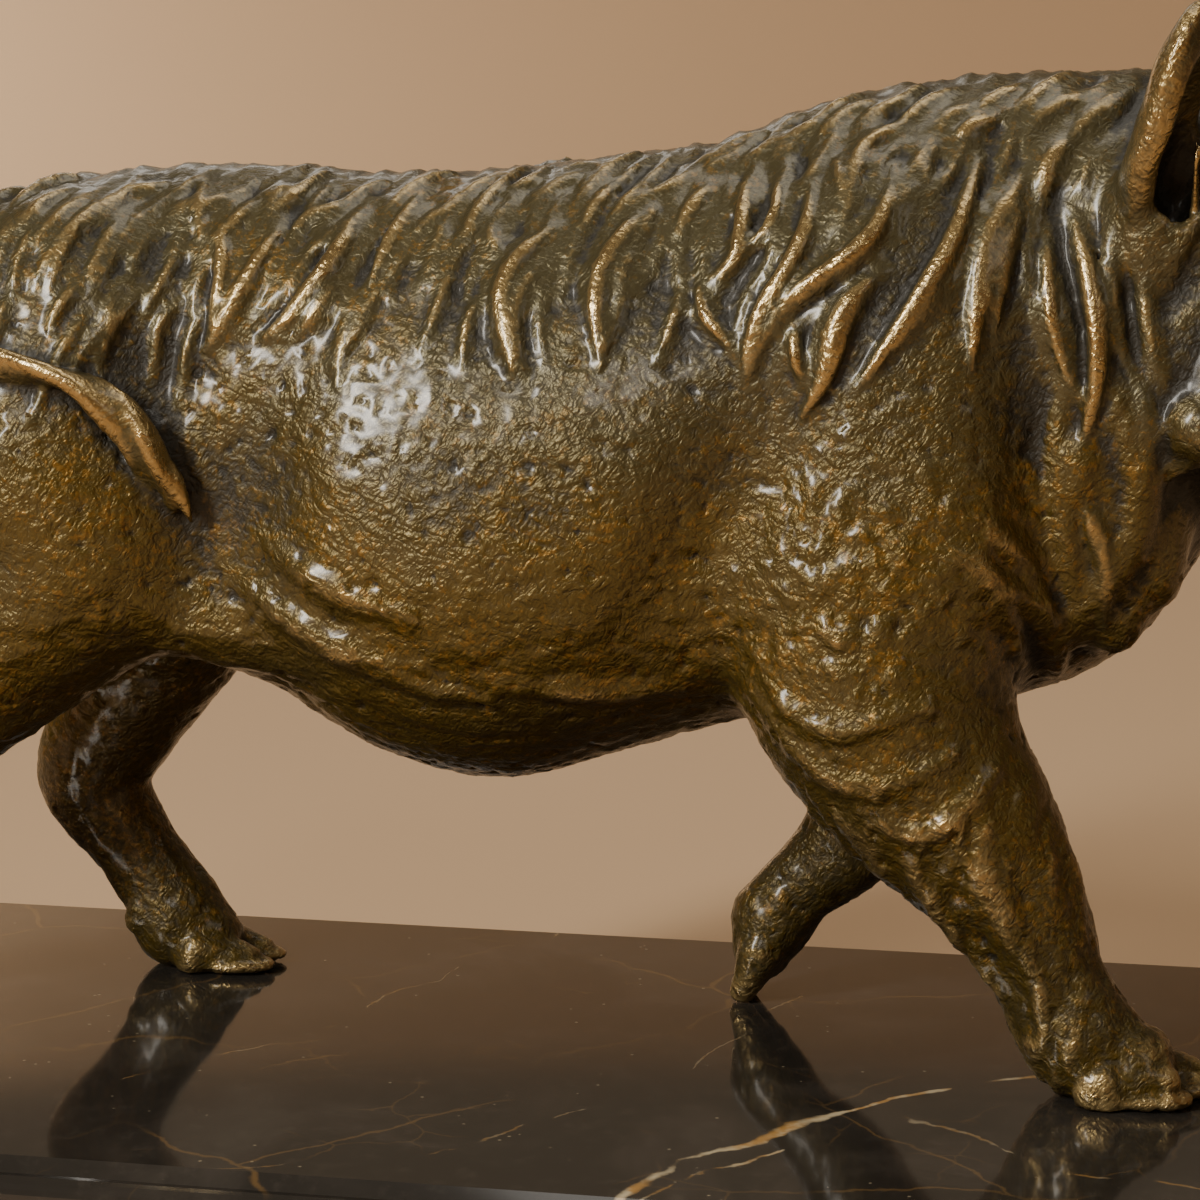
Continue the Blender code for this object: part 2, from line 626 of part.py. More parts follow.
def edge_profile():
    """How far the plinth's wall stands in, and at what height, from the underside up."""
    yield FOOT_CHAMFER, 0
    yield 0, FOOT_CHAMFER
    crisp = PLINTH_HEIGHT - EDGE_CHAMFER_DOWN
    for i in range(ROUND_STEPS + 1):
        turn = math.pi / 2 * i / ROUND_STEPS
        yield EDGE_ROUND * (1 - math.cos(turn)), crisp - EDGE_ROUND * (1 - math.sin(turn))
    yield EDGE_ROUND + EDGE_CHAMFER_OUT, PLINTH_HEIGHT


def make_plinth(figure_size, material):
    """The marble block, with its moulded top edge."""
    half_x = (figure_size[0] + REAR_MARGIN + FRONT_MARGIN) / 2
    half_y = (figure_size[1] + NEAR_MARGIN + FAR_MARGIN) / 2
    form = bmesh.new()
    rings = []
    for inset, height in edge_profile():
        corners = [(x * (half_x - inset), y * (half_y - inset), height) for x, y in CORNERS]
        rings.append([form.verts.new(corner) for corner in corners])
    for lower, upper in zip(rings, rings[1:]):
        for i in range(4):
            form.faces.new((lower[i], lower[(i + 1) % 4], upper[(i + 1) % 4], upper[i]))
    form.faces.new(rings[0][::-1])
    form.faces.new(rings[-1])
    mesh = bpy.data.meshes.new("plinth")
    form.to_mesh(mesh)
    form.free()
    return make_object("plinth", mesh, material)


clear_scene()
bronze = make_material("bronze", (0.16, 0.10, 0.045), 0.34, 1.0)
marble = make_material("black_marble", (0.018, 0.014, 0.012), 0.08, 0.0)
warthog, figure_size = make_warthog(bronze)
plinth = make_plinth(figure_size, marble)
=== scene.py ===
"""Looks of a bronze warthog that walks on a polished marble plinth.

The bronze is modelled as clay, the way a sculptor would: each mass of the body is a rounded shape in one
field of distances, pressed on with a soft seam. Geometry Nodes sweep the strands of the mane along the
flanks, and the same field takes them in, so that the whole animal is cast as one skin. Its points are
written in figure units, a millimetre each at real size, from the top of the plinth up.
"""

import logging
import math
import random
from collections.abc import Callable, Iterator, Sequence
from dataclasses import dataclass, field
from enum import Enum
from functools import reduce

import bmesh
import bpy
import numpy as np
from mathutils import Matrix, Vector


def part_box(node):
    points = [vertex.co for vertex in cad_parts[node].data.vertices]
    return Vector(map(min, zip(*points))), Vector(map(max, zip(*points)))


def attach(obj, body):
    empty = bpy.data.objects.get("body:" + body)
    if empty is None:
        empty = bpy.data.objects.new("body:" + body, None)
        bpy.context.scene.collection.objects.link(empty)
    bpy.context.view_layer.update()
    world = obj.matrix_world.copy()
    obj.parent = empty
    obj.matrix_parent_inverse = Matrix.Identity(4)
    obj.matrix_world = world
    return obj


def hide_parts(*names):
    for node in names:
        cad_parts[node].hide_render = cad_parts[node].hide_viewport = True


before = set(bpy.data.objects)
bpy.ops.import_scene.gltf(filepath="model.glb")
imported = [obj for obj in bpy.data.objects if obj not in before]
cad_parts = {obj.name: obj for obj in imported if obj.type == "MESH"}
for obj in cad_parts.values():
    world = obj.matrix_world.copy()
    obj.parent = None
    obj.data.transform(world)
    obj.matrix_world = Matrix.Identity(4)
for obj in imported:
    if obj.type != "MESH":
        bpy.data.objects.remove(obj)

import openvdb
from mathutils import Euler, Vector

log = logging.getLogger("warthog")

Point = tuple[float, float, float]
Shape = tuple[Callable, np.ndarray, np.ndarray]
Stop = tuple[Point, float]

UNIT = 0.001  # metres in one figure unit
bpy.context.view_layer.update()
BOTH, NEAR_ONLY, FAR_ONLY = (-1, 1), (-1,), (1,)  # sides of the animal, by the sign of Y
STEEPEST_FOOT = -0.8  # how far down a foot may point and still stand flat
EMPTY = 50.0  # the distance that stands for no clay near


class Side(Enum):
    """The two flanks of the animal, by the sign of their Y."""

    NEAR = -1
    FAR = 1


# Shapes of clay


def ellipsoid(centre: Sequence[float], radii: Sequence[float], tilt: float = 0.0,
              turn: object = None) -> Shape:
    """An ellipsoid of clay.

    Args:
        centre: its middle.
        radii: its three half lengths.
        tilt: its turn about Y, in degrees, used where no matrix is given.
        turn: a rotation matrix, or nothing.

    Returns:
        Its distance function and its lowest and highest corners.
    """
    turn = np.array(turn if turn is not None else Euler((0, math.radians(tilt), 0)).to_matrix())
    radii = np.array(radii, float)

    def distance(x: np.ndarray, y: np.ndarray, z: np.ndarray) -> np.ndarray:
        """Distance to the surface, negative inside."""
        away = [x - centre[0], y - centre[1], z - centre[2]]
        local = [sum(turn[j][i] * away[j] for j in range(3)) for i in range(3)]
        near = sum((local[i] / radii[i]) ** 2 for i in range(3)) ** 0.5
        slope = sum((local[i] / radii[i] ** 2) ** 2 for i in range(3)) ** 0.5
        return near * (near - 1) / np.maximum(slope, 1e-6)

    reach = np.sqrt((turn**2) @ radii**2)
    return distance, np.array(centre) - reach, np.array(centre) + reach


def capsule(start: Sequence[float], end: Sequence[float], radii: tuple[float, float],
            flat: float = 1.0) -> Shape:
    """A rod with round ends, of changing radius, flattened along Y by a share."""
    start, end = np.array(start, float), np.array(end, float)
    rod = (end - start) * (1, 1 / flat, 1)
    length = max(float(rod @ rod), 1e-9)

    def distance(x: np.ndarray, y: np.ndarray, z: np.ndarray) -> np.ndarray:
        """Distance to the surface, negative inside."""
        away = [(x - start[0]), (y - start[1]) / flat, (z - start[2])]
        along = np.clip(sum(away[i] * rod[i] for i in range(3)) / length, 0, 1)
        gap = sum((away[i] - along * rod[i]) ** 2 for i in range(3)) ** 0.5
        return (gap - radii[0] - (radii[1] - radii[0]) * along) * (0.5 + 0.5 * flat)

    widest = max(radii)
    return distance, np.minimum(start, end) - widest, np.maximum(start, end) + widest


def smooth_path(rows: Sequence[Sequence[float]], steps: int) -> np.ndarray:
    """Points on a smooth curve through rows, with any further columns riding along.

    Args:
        rows: what the curve passes through.
        steps: how many points it gives for each stretch.

    Returns:
        One row for each point.
    """
    rows = np.array(rows, float)
    rows = np.vstack((2 * rows[0] - rows[1], rows, 2 * rows[-1] - rows[-2]))
    made = []
    for a, b, c, d in zip(rows, rows[1:], rows[2:], rows[3:]):
        for t in np.arange(steps) / steps:
            bend = (2 * a - 5 * b + 4 * c - d) * t**2 + (3 * b - a - 3 * c + d) * t**3
            made.append(0.5 * (2 * b + (c - a) * t + bend))
    return np.array([*made, rows[-2]])


def chain(stops: Sequence[Stop], steps: int = 3, flat: float = 1.0, place: Callable | None = None) -> Shape:
    """A bent rod of clay.

    Args:
        stops: points along it, each with its radius.
        steps: links for each stretch between two stops.
        flat: its thickness along Y, as a share of the rest.
        place: moves each point, or nothing.

    Returns:
        Its distance function and its lowest and highest corners.
    """
    rows = smooth_path([(*point, radius) for point, radius in stops], steps)
    points = rows[:, :3] if place is None else np.array([place(p) for p in rows[:, :3]])
    radii = np.maximum(rows[:, 3], 0.5)
    joints = list(zip(points, radii))
    links = [capsule(a, b, (first, last), flat) for (a, first), (b, last) in zip(joints, joints[1:])]

    def distance(x: np.ndarray, y: np.ndarray, z: np.ndarray) -> np.ndarray:
        """Distance to the nearest link."""
        nearest = links[0][0](x, y, z)
        for link in links[1:]:
            nearest = np.minimum(nearest, link[0](x, y, z))
        return nearest

    return distance, np.min([link[1] for link in links], 0), np.max([link[2] for link in links], 0)


def mirrored(point: Sequence[float], side: int) -> Point:
    """The point, or its image on the other flank."""
    return (point[0], point[1] * side, point[2])


class Clay:
    """A block of distances, in figure units, negative inside the clay."""

    def __init__(self, low: Sequence[float], high: Sequence[float], step: float) -> None:
        """An empty block from low to high with a point every step."""
        self.low = np.array(low, float)
        self.step = step
        counts = np.ceil((np.array(high) - self.low) / step).astype(int) + 1
        self.field = np.full(counts, EMPTY, np.float32)

    def finer(self) -> "Clay":
        """The same clay at half the step."""
        made = Clay(self.low, self.low, self.step / 2)
        block = self.field
        for axis in range(3):
            count = block.shape[axis]
            middle = (np.take(block, range(count - 1), axis) + np.take(block, range(1, count), axis)) / 2
            shape = list(block.shape)
            shape[axis] = 2 * shape[axis] - 1
            wider = np.empty(shape, np.float32)
            even, odd = [slice(None)] * 3, [slice(None)] * 3
            even[axis], odd[axis] = slice(0, None, 2), slice(1, None, 2)
            wider[tuple(even)], wider[tuple(odd)] = block, middle
            block = wider
        made.field = block
        return made

    def _window(self, low: np.ndarray, high: np.ndarray, reach: float) -> tuple:
        """The part of the block within reach of a box, as slices and as points."""
        first = np.floor((np.array(low) - reach - self.low) / self.step).astype(int)
        last = np.ceil((np.array(high) + reach - self.low) / self.step).astype(int) + 1
        first, last = np.maximum(first, 0), np.minimum(last, self.field.shape)
        slices = tuple(slice(a, b) for a, b in zip(first, last))
        axes = [(start + self.step * np.arange(a, b)).astype(np.float32)
                for start, a, b in zip(self.low, first, last)]
        return slices, np.meshgrid(*axes, indexing="ij", sparse=True)

    def press_on(self, shape: Shape, blend: float) -> None:
        """Adds a shape with a soft seam as wide as blend."""
        self._work_in(shape, blend, 1)

    def cut_out(self, shape: Shape, blend: float) -> None:
        """Takes a shape away, with an edge as soft as blend."""
        self._work_in(shape, blend, -1)

    def _work_in(self, shape: Shape, blend: float, sign: int) -> None:
        """Joins a shape to the clay, or, where the sign is -1, to the space around it."""
        distance, low, high = shape
        slices, points = self._window(low, high, blend + 3 * self.step)
        self.field[slices] = sign * soft_least(sign * self.field[slices], distance(*points), blend)

    def flatten_below(self, height: float) -> None:
        """Cuts the clay off level at this height."""
        heights = self.low[2] + self.step * np.arange(self.field.shape[2])
        self.field = np.maximum(self.field, (height - heights)[None, None, :]).astype(np.float32)

    def flank(self, side: int) -> np.ndarray:
        """How far out the surface stands on one side, over x and z, with nan where there is none."""
        block = self.field[:, ::-side, :]
        first = np.maximum(np.argmax(block < 0, axis=1), 1)[:, None, :]
        here, before = (np.take_along_axis(block, first - back, axis=1)[:, 0] for back in (0, 1))
        reach = self.step * (first[:, 0] - np.clip(here / (here - before - 1e-6), 0, 1))
        far_end = self.low[1] + self.step * (block.shape[1] - 1)
        outer = self.low[1] + reach if side < 0 else far_end - reach
        return np.where((block < 0).any(axis=1), outer, np.nan)

    def press_mesh(self, mesh: bpy.types.Mesh, blend: float) -> np.ndarray:
        """Takes a mesh of closed tubes into the clay.

        Args:
            mesh: the tubes, in figure units.
            blend: the width of the soft seam.

        Returns:
            The distance to the tubes over the whole block.
        """
        points = read_points(mesh)
        mesh.calc_loop_triangles()
        corners = np.empty(len(mesh.loop_triangles) * 3, np.int32)
        mesh.loop_triangles.foreach_get("vertices", corners)
        grid = openvdb.FloatGrid.createLevelSetFromPolygons(
            ((points - self.low) / self.step).astype(np.float32),
            triangles=corners.reshape(-1, 3).astype(np.uint32),
            transform=openvdb.createLinearTransform(voxelSize=1.0),
            halfWidth=5.0,
        )
        apart = np.zeros_like(self.field)
        grid.copyToArray(apart)
        apart *= self.step
        self.field = soft_least(self.field, apart, blend)
        return apart

    def skin(self) -> tuple[np.ndarray, list]:
        """The surface of the clay as points and polygons."""
        grid = openvdb.FloatGrid(3.0 * self.step)
        grid.copyFromArray(np.clip(self.field, -3 * self.step, 3 * self.step))
        points, triangles, quads = grid.convertToPolygons(isovalue=0.0, adaptivity=0.0)
        return points * self.step + self.low, [*triangles.tolist(), *quads.tolist()]

    def read(self, block: np.ndarray, points: np.ndarray) -> np.ndarray:
        """The values of a block of this clay's shape at points."""
        places = np.clip((points - self.low) / self.step, 0, np.array(block.shape) - 1.001)
        cells = places.astype(int)
        within = places - cells
        total = np.zeros(len(points))
        for corner in np.ndindex(2, 2, 2):
            share = np.prod(np.where(corner, within, 1 - within), axis=1)
            x, y, z = (cells + corner).T
            total += share * block[x, y, z]
        return total


def soft_least(old: np.ndarray, new: np.ndarray, blend: float) -> np.ndarray:
    """The lesser of two distances, with a soft seam as wide as blend."""
    share = np.clip(0.5 + 0.5 * (old - new) / blend, 0, 1)
    return (old + (new - old) * share - blend * share * (1 - share)).astype(np.float32)


def read_points(mesh: bpy.types.Mesh) -> np.ndarray:
    """A mesh's points as rows."""
    values = np.empty(len(mesh.vertices) * 3, np.float32)
    mesh.vertices.foreach_get("co", values)
    return values.reshape(-1, 3).astype(float)


def add_object(name: str, data: object) -> bpy.types.Object:
    """A new object in the scene."""
    made = bpy.data.objects.new(name, data)
    bpy.context.scene.collection.objects.link(made)
    return made


def modified_mesh(holder: bpy.types.Object) -> bpy.types.Mesh:
    """What an object's modifiers make of its mesh, as a new mesh."""
    graph = bpy.context.evaluated_depsgraph_get()
    return bpy.data.meshes.new_from_object(holder.evaluated_get(graph), depsgraph=graph)


class Noise:
    """Smooth noise over space, the same for the same seed."""

    def __init__(self, seed: int) -> None:
        """Draws the slopes that the noise is made of."""
        chance = np.random.default_rng(seed)
        slopes = chance.normal(size=(256, 3))
        self.slopes = slopes / np.linalg.norm(slopes, axis=1)[:, None]
        self.order = chance.permutation(256)

    def at(self, points: np.ndarray) -> np.ndarray:
        """The noise at points, about -0.7 to 0.7."""
        cell = np.floor(points).astype(int)
        within = points - cell
        soft = within**3 * (within * (within * 6 - 15) + 10)
        total = np.zeros(len(points))
        for corner in np.ndindex(2, 2, 2):
            key = cell + corner
            row = self.order[(self.order[key[:, 0] & 255] + key[:, 1]) & 255]
            pick = self.order[(row + key[:, 2]) & 255]
            rise = np.einsum("ij,ij->i", self.slopes[pick], within - corner)
            share = np.prod(np.where(corner, soft, 1 - soft), axis=1)
            total += rise * share
        return total

    def folds(self, points: np.ndarray, octaves: int = 3) -> np.ndarray:
        """Noise with round tops and sharp creases, about 0 to 1."""
        total, share = np.zeros(len(points)), 1.0
        for octave in range(octaves):
            total += share * np.abs(self.at(points * 2.03**octave + 17.3 * octave)) * 2.2
            share *= 0.5
        return total / 1.6


# Node trees


class Signal:
    """A socket that adds up like a number: an expression on signals adds its Math nodes."""

    def __init__(self, bench: "Bench", socket: bpy.types.NodeSocket) -> None:
        """Wraps one output socket."""
        self.bench = bench
        self.socket = socket

    def math(self, operation: str, *values: object) -> "Signal":
        """The result of a Math node on these values."""
        return self.bench.node("ShaderNodeMath", {"operation": operation}, dict(enumerate(values)))[0]

    def __add__(self, other: object) -> "Signal":
        """Sum."""
        return self.math("ADD", self, other)

    __radd__ = __add__

    def __sub__(self, other: object) -> "Signal":
        """Difference."""
        return self.math("SUBTRACT", self, other)

    def __rsub__(self, other: object) -> "Signal":
        """Difference from a number."""
        return self.math("SUBTRACT", other, self)

    def __mul__(self, other: object) -> "Signal":
        """Product."""
        return self.math("MULTIPLY", self, other)

    __rmul__ = __mul__

    def __truediv__(self, other: object) -> "Signal":
        """Ratio."""
        return self.math("DIVIDE", self, other)

    def __abs__(self) -> "Signal":
        """Size without its sign."""
        return self.math("ABSOLUTE", self)

    def least(self, other: object) -> "Signal":
        """The lesser of two."""
        return self.math("MINIMUM", self, other)

    def most(self, other: object) -> "Signal":
        """The greater of two."""
        return self.math("MAXIMUM", self, other)

    def ramp(self, low: float, high: float, to_low: float = 0.0, to_high: float = 1.0) -> "Signal":
        """Moves a range of values to another, smoothly and with both ends held."""
        values = {"Value": self, 1: low, 2: high, 3: to_low, 4: to_high}
        return self.bench.node("ShaderNodeMapRange", {"interpolation_type": "SMOOTHSTEP"}, values)[0]


class Built:
    """A node that was added, whose outputs are signals by name or place."""

    def __init__(self, bench: "Bench", node: bpy.types.Node) -> None:
        """Wraps one node."""
        self.bench = bench
        self.node = node

    def __getitem__(self, key: int | str) -> Signal:
        """One output of the node."""
        if isinstance(key, int):
            shown = [socket for socket in self.node.outputs if socket.enabled]
            return Signal(self.bench, shown[key])
        return Signal(self.bench, next(s for s in self.node.outputs if s.name == key and s.enabled))


class Bench:
    """A node tree under construction."""

    def __init__(self, tree: bpy.types.NodeTree) -> None:
        """Starts on an empty tree."""
        self.tree = tree
        tree.nodes.clear()

    def node(self, kind: str, settings: dict | None = None, values: dict | None = None) -> Built:
        """Adds any node.

        Args:
            kind: its type.
            settings: its properties, set first.
            values: for each input, by name or place, a number, a vector or a signal.

        Returns:
            The node.
        """
        made = self.tree.nodes.new(kind)
        for name, setting in (settings or {}).items():
            setattr(made, name, setting)
        for key, value in (values or {}).items():
            if isinstance(key, int):
                socket = made.inputs[key]
            else:
                socket = next(s for s in made.inputs if s.name == key and s.enabled)
            if isinstance(value, Signal):
                self.tree.links.new(value.socket, socket)
            else:
                socket.default_value = value
        return Built(self, made)

    def mix(self, share: object, first: object, second: object) -> Signal:
        """A colour between two colours."""
        values = {0: share, 6: opaque(first), 7: opaque(second)}
        return self.node("ShaderNodeMix", {"data_type": "RGBA"}, values)["Result"]

    def vector(self, operation: str, *values: object) -> Built:
        """A Vector Math node."""
        return self.node("ShaderNodeVectorMath", {"operation": operation}, dict(enumerate(values)))

    def scaled(self, direction: object, share: Signal) -> Signal:
        """A vector times a signal."""
        return self.node("ShaderNodeVectorMath", {"operation": "SCALE"}, {0: direction, "Scale": share})[0]

    def mark(self, name: str) -> Signal:
        """An attribute of the piece's points."""
        return self.node("ShaderNodeAttribute", {"attribute_name": name})["Fac"]

    def bent(self, place: Signal, scale: float, detail: float, reach: float) -> Signal:
        """Places moved about by noise, by up to half of reach each way."""
        values = {"Vector": place, "Scale": scale, "Detail": detail}
        warp = self.node("ShaderNodeTexNoise", {}, values)["Color"]
        shift = self.vector("MULTIPLY", self.vector("SUBTRACT", warp, (0.5,) * 3)[0], (reach,) * 3)
        return self.vector("ADD", place, shift[0])[0]

    def surface(self, values: dict) -> None:
        """Ends a material's tree in a Principled shader with these values."""
        shader = self.node("ShaderNodeBsdfPrincipled", {}, values)
        self.node("ShaderNodeOutputMaterial", {}, {"Surface": shader[0]})

    def noise(self, where: Signal, size: float, detail: float = 3.0, rough: float = 0.5,
              twist: float = 0.0) -> Signal:
        """Noise about size metres across, 0 to 1."""
        values = {"Vector": where, "Scale": 1 / size, "Detail": detail}
        values |= {"Roughness": rough, "Distortion": twist}
        return self.node("ShaderNodeTexNoise", {}, values)["Fac"]


def opaque(colour: object) -> object:
    """A colour with its alpha, or the signal as it is."""
    return colour if isinstance(colour, Signal) or len(colour) == 4 else (*colour, 1.0)


def start_material(name: str) -> tuple[bpy.types.Material, Bench]:
    """An empty material and the bench of its tree."""
    material = bpy.data.materials.new(name)
    material.use_nodes = True
    return material, Bench(material.node_tree)


def object_place(bench: Bench) -> Signal:
    """The place on the piece, in metres."""
    return bench.node("ShaderNodeTexCoord")["Object"]


@dataclass(frozen=True)
class BronzePatina:
    """Waxed bronze: dark olive in the recesses, ochre on the hide, rubbed golden on the ridges, with painted
    shade low on the legs and painted glints in fine strokes over the hide.
    """

    # The patina colour of the recesses, also used as painted shade low on the legs.
    recess_and_shade: Point = (0.0070, 0.0062, 0.0030)
    olive: Point = (0.072, 0.060, 0.024)
    ochre: Point = (0.094, 0.062, 0.0075)
    rust: Point = (0.20, 0.104, 0.010)
    rubbed: Point = (0.46, 0.33, 0.14)
    crease: float = 0.0013
    dash: float = 0.00034
    bump: float = 0.00030

    def build(self) -> bpy.types.Material:
        """The finished material."""
        material, bench = start_material("bronze_patina")
        place = object_place(bench)
        ridge, hollow, hair = (bench.mark(name) for name in ("ridge", "hollow", "hair"))
        cloud = bench.noise(place, 0.014, 5, 0.6)
        patch = bench.noise(place, 0.04, 3, 0.55, 0.6)
        speck = bench.noise(place, 0.0011, 3, 0.65)
        crease = self._creases(bench, place)
        glint_strokes = self._glint_strokes(bench, place)
        height = bench.node("ShaderNodeSeparateXYZ", {}, {"Vector": place})["Z"]
        warm = height.ramp(0.115, 0.078) * 0.6 + patch.ramp(0.4, 0.66) * 0.5 + cloud.ramp(0.4, 0.7) * 0.25
        skin = bench.mix((warm - hair * 0.4).least(1.0).most(0.0), self.olive, self.ochre)
        rust = (speck + (cloud - 0.5) * 0.5).ramp(0.55, 0.68) * (warm + 0.15).least(1.0) * 0.8
        spotted = bench.mix(rust, skin, self.rust)
        grime = hollow * (hair * 0.3 + 1.5) + (0.55 - crease) * 0.55 + (0.5 - speck) * 0.5
        # Painted shade: below 0.068 m the colour darkens towards the feet, standing in for the shade on the
        # legs. The rest of this mask is patina in the hollows and creases, plus darker gaps between the
        # painted glint strokes.
        dirt_and_shade = (grime + (0.5 - glint_strokes) * 0.3 + height.ramp(0.068, 0.04) * 0.22).ramp(0.1, 0.8)
        dirty_and_shaded = bench.mix(dirt_and_shade * 0.92, spotted, self.recess_and_shade)
        # Painted glints: the fine strokes raise this mask, so the rubbed colour is painted along them as
        # glints, beside the real wear on the ridges.
        wear_and_glint = ridge * 1.25 * (hair * 0.35 + 0.75) + (speck - 0.5) * 0.4 + (glint_strokes - 0.5) * 0.4
        worn_and_glinting = (wear_and_glint - (1 - crease) * 0.3).ramp(0.3, 1.05)
        colour = bench.mix(worn_and_glinting * 0.85, dirty_and_shaded, self.rubbed)
        metal = 0.55 + worn_and_glinting * 0.4 - dirt_and_shade * 0.4
        roughness = 0.38 + dirt_and_shade * 0.25 - worn_and_glinting * 0.12 + (cloud - 0.5) * 0.2
        relief = (crease * 0.9 + glint_strokes * 0.35) * (1 - hair * 0.45) + speck * 0.3
        bump = bench.node("ShaderNodeBump", {}, {"Strength": 0.85, "Distance": self.bump, "Height": relief})
        values = {"Base Color": colour, "Metallic": metal, "Roughness": roughness, "Normal": bump[0]}
        values |= {"Coat Weight": 0.55 - dirt_and_shade * 0.3, "Coat Roughness": 0.2, "Coat IOR": 1.5}
        bench.surface(values)
        return material

    def _creases(self, bench: Bench, place: Signal) -> Signal:
        """The crumpled network of the hide, 0 in its creases."""
        bent = bench.bent(place, 300.0, 2.0, self.crease * 1.6)
        broad, fine = (self._ridges(bench, bent, turn, size) for turn, size in ((24, 1.3), (-52, 0.75)))
        return broad.least(1.0) * 0.6 + fine.least(1.0) * 0.4

    def _ridges(self, bench: Bench, place: Signal, turn: float, size: float) -> Signal:
        """Rounded ridges that lie at a turn, 0 in the creases between them."""
        where = self._stretched(bench, place, turn, 2.2)
        return abs(bench.noise(where, self.crease * size, 2, 0.5) - 0.5) * 5

    def _glint_strokes(self, bench: Bench, place: Signal) -> Signal:
        """Short fine strokes that lie two ways over the hide: laid into the bump, and painted into the
        colour as glints, lighter on the strokes and darker between them.
        """
        ways = [self._stretched(bench, place, turn, 4.0) for turn in (62, -40)]
        one, other = (bench.noise(way, self.dash, 2, 0.55) for way in ways)
        share = bench.noise(place, 0.012, 2).ramp(0.42, 0.58)
        return one * share + other * (1 - share)

    @staticmethod
    def _stretched(bench: Bench, place: Signal, turn: float, length: float) -> Signal:
        """Places turned about Y and drawn out along the turned X."""
        values = {"Vector": place, "Rotation": (0, math.radians(turn), 0), "Scale": (length, 1, 1)}
        return bench.node("ShaderNodeMapping", {"vector_type": "TEXTURE"}, values)["Vector"]


@dataclass(frozen=True)
class Vein:
    """A vein of the marble: the places it runs through on the top, and its width and strength."""

    stops: tuple[tuple[float, float], ...]
    width: float
    strength: float


@dataclass(frozen=True)
class PolishedMarble:
    """Near-black brown marble, polished, with fine golden veins and pale specks."""

    ground: Point = (0.020, 0.0180, 0.0155)
    cloud: Point = (0.052, 0.045, 0.037)
    gold: Point = (0.40, 0.22, 0.06)
    cream: Point = (0.56, 0.47, 0.30)
    veins: tuple[Vein, ...] = (
        Vein(((-0.004, -0.068), (0.008, -0.040), (0.022, -0.0196), (0.035, -0.0066), (0.047, 0.001)),
             0.00062, 1.0),
        Vein(((-0.002, -0.075), (0.009, -0.045), (0.016, -0.036)), 0.00035, 0.9),
        Vein(((0.047, 0.001), (0.075, 0.012), (0.110, 0.048), (0.140, 0.060)), 0.0003, 0.4),
        Vein(((-0.142, -0.010), (-0.082, -0.034), (-0.069, -0.025), (-0.050, 0.002), (-0.030, 0.060)),
             0.00022, 0.35),
        Vein(((-0.060, -0.060), (-0.024, -0.047), (-0.005, -0.020), (0.010, 0.030)), 0.0002, 0.3),
        Vein(((0.029, -0.017), (0.050, -0.037), (0.090, -0.045), (0.142, -0.030)), 0.00026, 0.4),
    )
    lean: float = 0.35
    height: float = 0.022

    def build(self) -> bpy.types.Material:
        """The finished material."""
        material, bench = start_material("polished_marble")
        place = object_place(bench)
        bent = bench.bent(place, 60.0, 6.0, 0.011)
        cloud = bench.noise(place, 0.03, 6, 0.62, 0.8)
        mottle = bench.noise(place, 0.003, 4, 0.7)
        haze = (cloud.ramp(0.42, 0.75) * 0.7 + mottle.ramp(0.5, 0.75) * 0.4).least(1.0)
        ground = bench.mix(haze, self.ground, self.cloud)
        fine = self._network(bench, bent, 0.040, 0.0045) * bench.noise(place, 0.03, 2).ramp(0.46, 0.62)
        finer = self._network(bench, bent, 0.016, 0.006) * bench.noise(place, 0.02, 2).ramp(0.5, 0.64) * 0.6
        colour = bench.mix(fine.most(finer) * 0.2, ground, self.gold)
        bold = reduce(Signal.most, (self._line(bench, bent, vein) for vein in self.veins))
        tone = bench.mix(bench.noise(place, 0.006, 4, 0.6).ramp(0.42, 0.6), self.gold, self.cream)
        colour = bench.mix(bold, colour, tone)
        dots = bench.node("ShaderNodeTexVoronoi", {}, {"Vector": place, "Scale": 460.0, "Randomness": 1.0})
        speck = dots["Distance"].ramp(0.15, 0.05) * bench.noise(place, 0.004, 1).ramp(0.58, 0.66)
        colour = bench.mix(speck * 0.35, colour, self.cream)
        bench.surface({"Base Color": colour, "Roughness": 0.07, "IOR": 1.52})
        return material

    @staticmethod
    def _network(bench: Bench, place: Signal, size: float, width: float) -> Signal:
        """Thin lines between cells about size across."""
        settings = {"feature": "DISTANCE_TO_EDGE"}
        cells = bench.node("ShaderNodeTexVoronoi", settings, {"Vector": place, "Scale": 1 / size})
        return cells["Distance"].ramp(width * 2.2, width * 0.3)

    def _line(self, bench: Bench, place: Signal, vein: Vein) -> Signal:
        """One vein, leaning back as it goes down through the block."""
        flat = bench.vector("MULTIPLY", place, (1, 1, self.lean))[0]
        gaps = (self._gap(bench, flat, start, end) for start, end in zip(vein.stops, vein.stops[1:]))
        nearest = reduce(Signal.least, gaps)
        width = bench.noise(place, 0.022, 3).ramp(0.3, 0.7, vein.width * 0.25, vein.width * 1.5)
        return (nearest / width).ramp(1.5, 0.5) * vein.strength

    def _gap(self, bench: Bench, flat: Signal, start: Sequence[float], end: Sequence[float]) -> Signal:
        """The distance to one stretch of a vein."""
        run = (end[0] - start[0], end[1] - start[1], 0)
        span = run[0] ** 2 + run[1] ** 2
        away = bench.vector("SUBTRACT", flat, (*start, self.lean * self.height))[0]
        along = (bench.vector("DOT_PRODUCT", away, run)["Value"] / span).most(0.0).least(1.0)
        return bench.vector("DISTANCE", away, bench.scaled(run, along))["Value"]


@dataclass(frozen=True)
class PaleFloor:
    """The plain studio floor."""

    colour: Point = (0.60, 0.41, 0.245)

    def build(self) -> bpy.types.Material:
        """The finished material."""
        material, bench = start_material("studio_floor")
        bench.surface({"Base Color": opaque(self.colour), "Roughness": 0.9})
        return material


# The strands of the mane


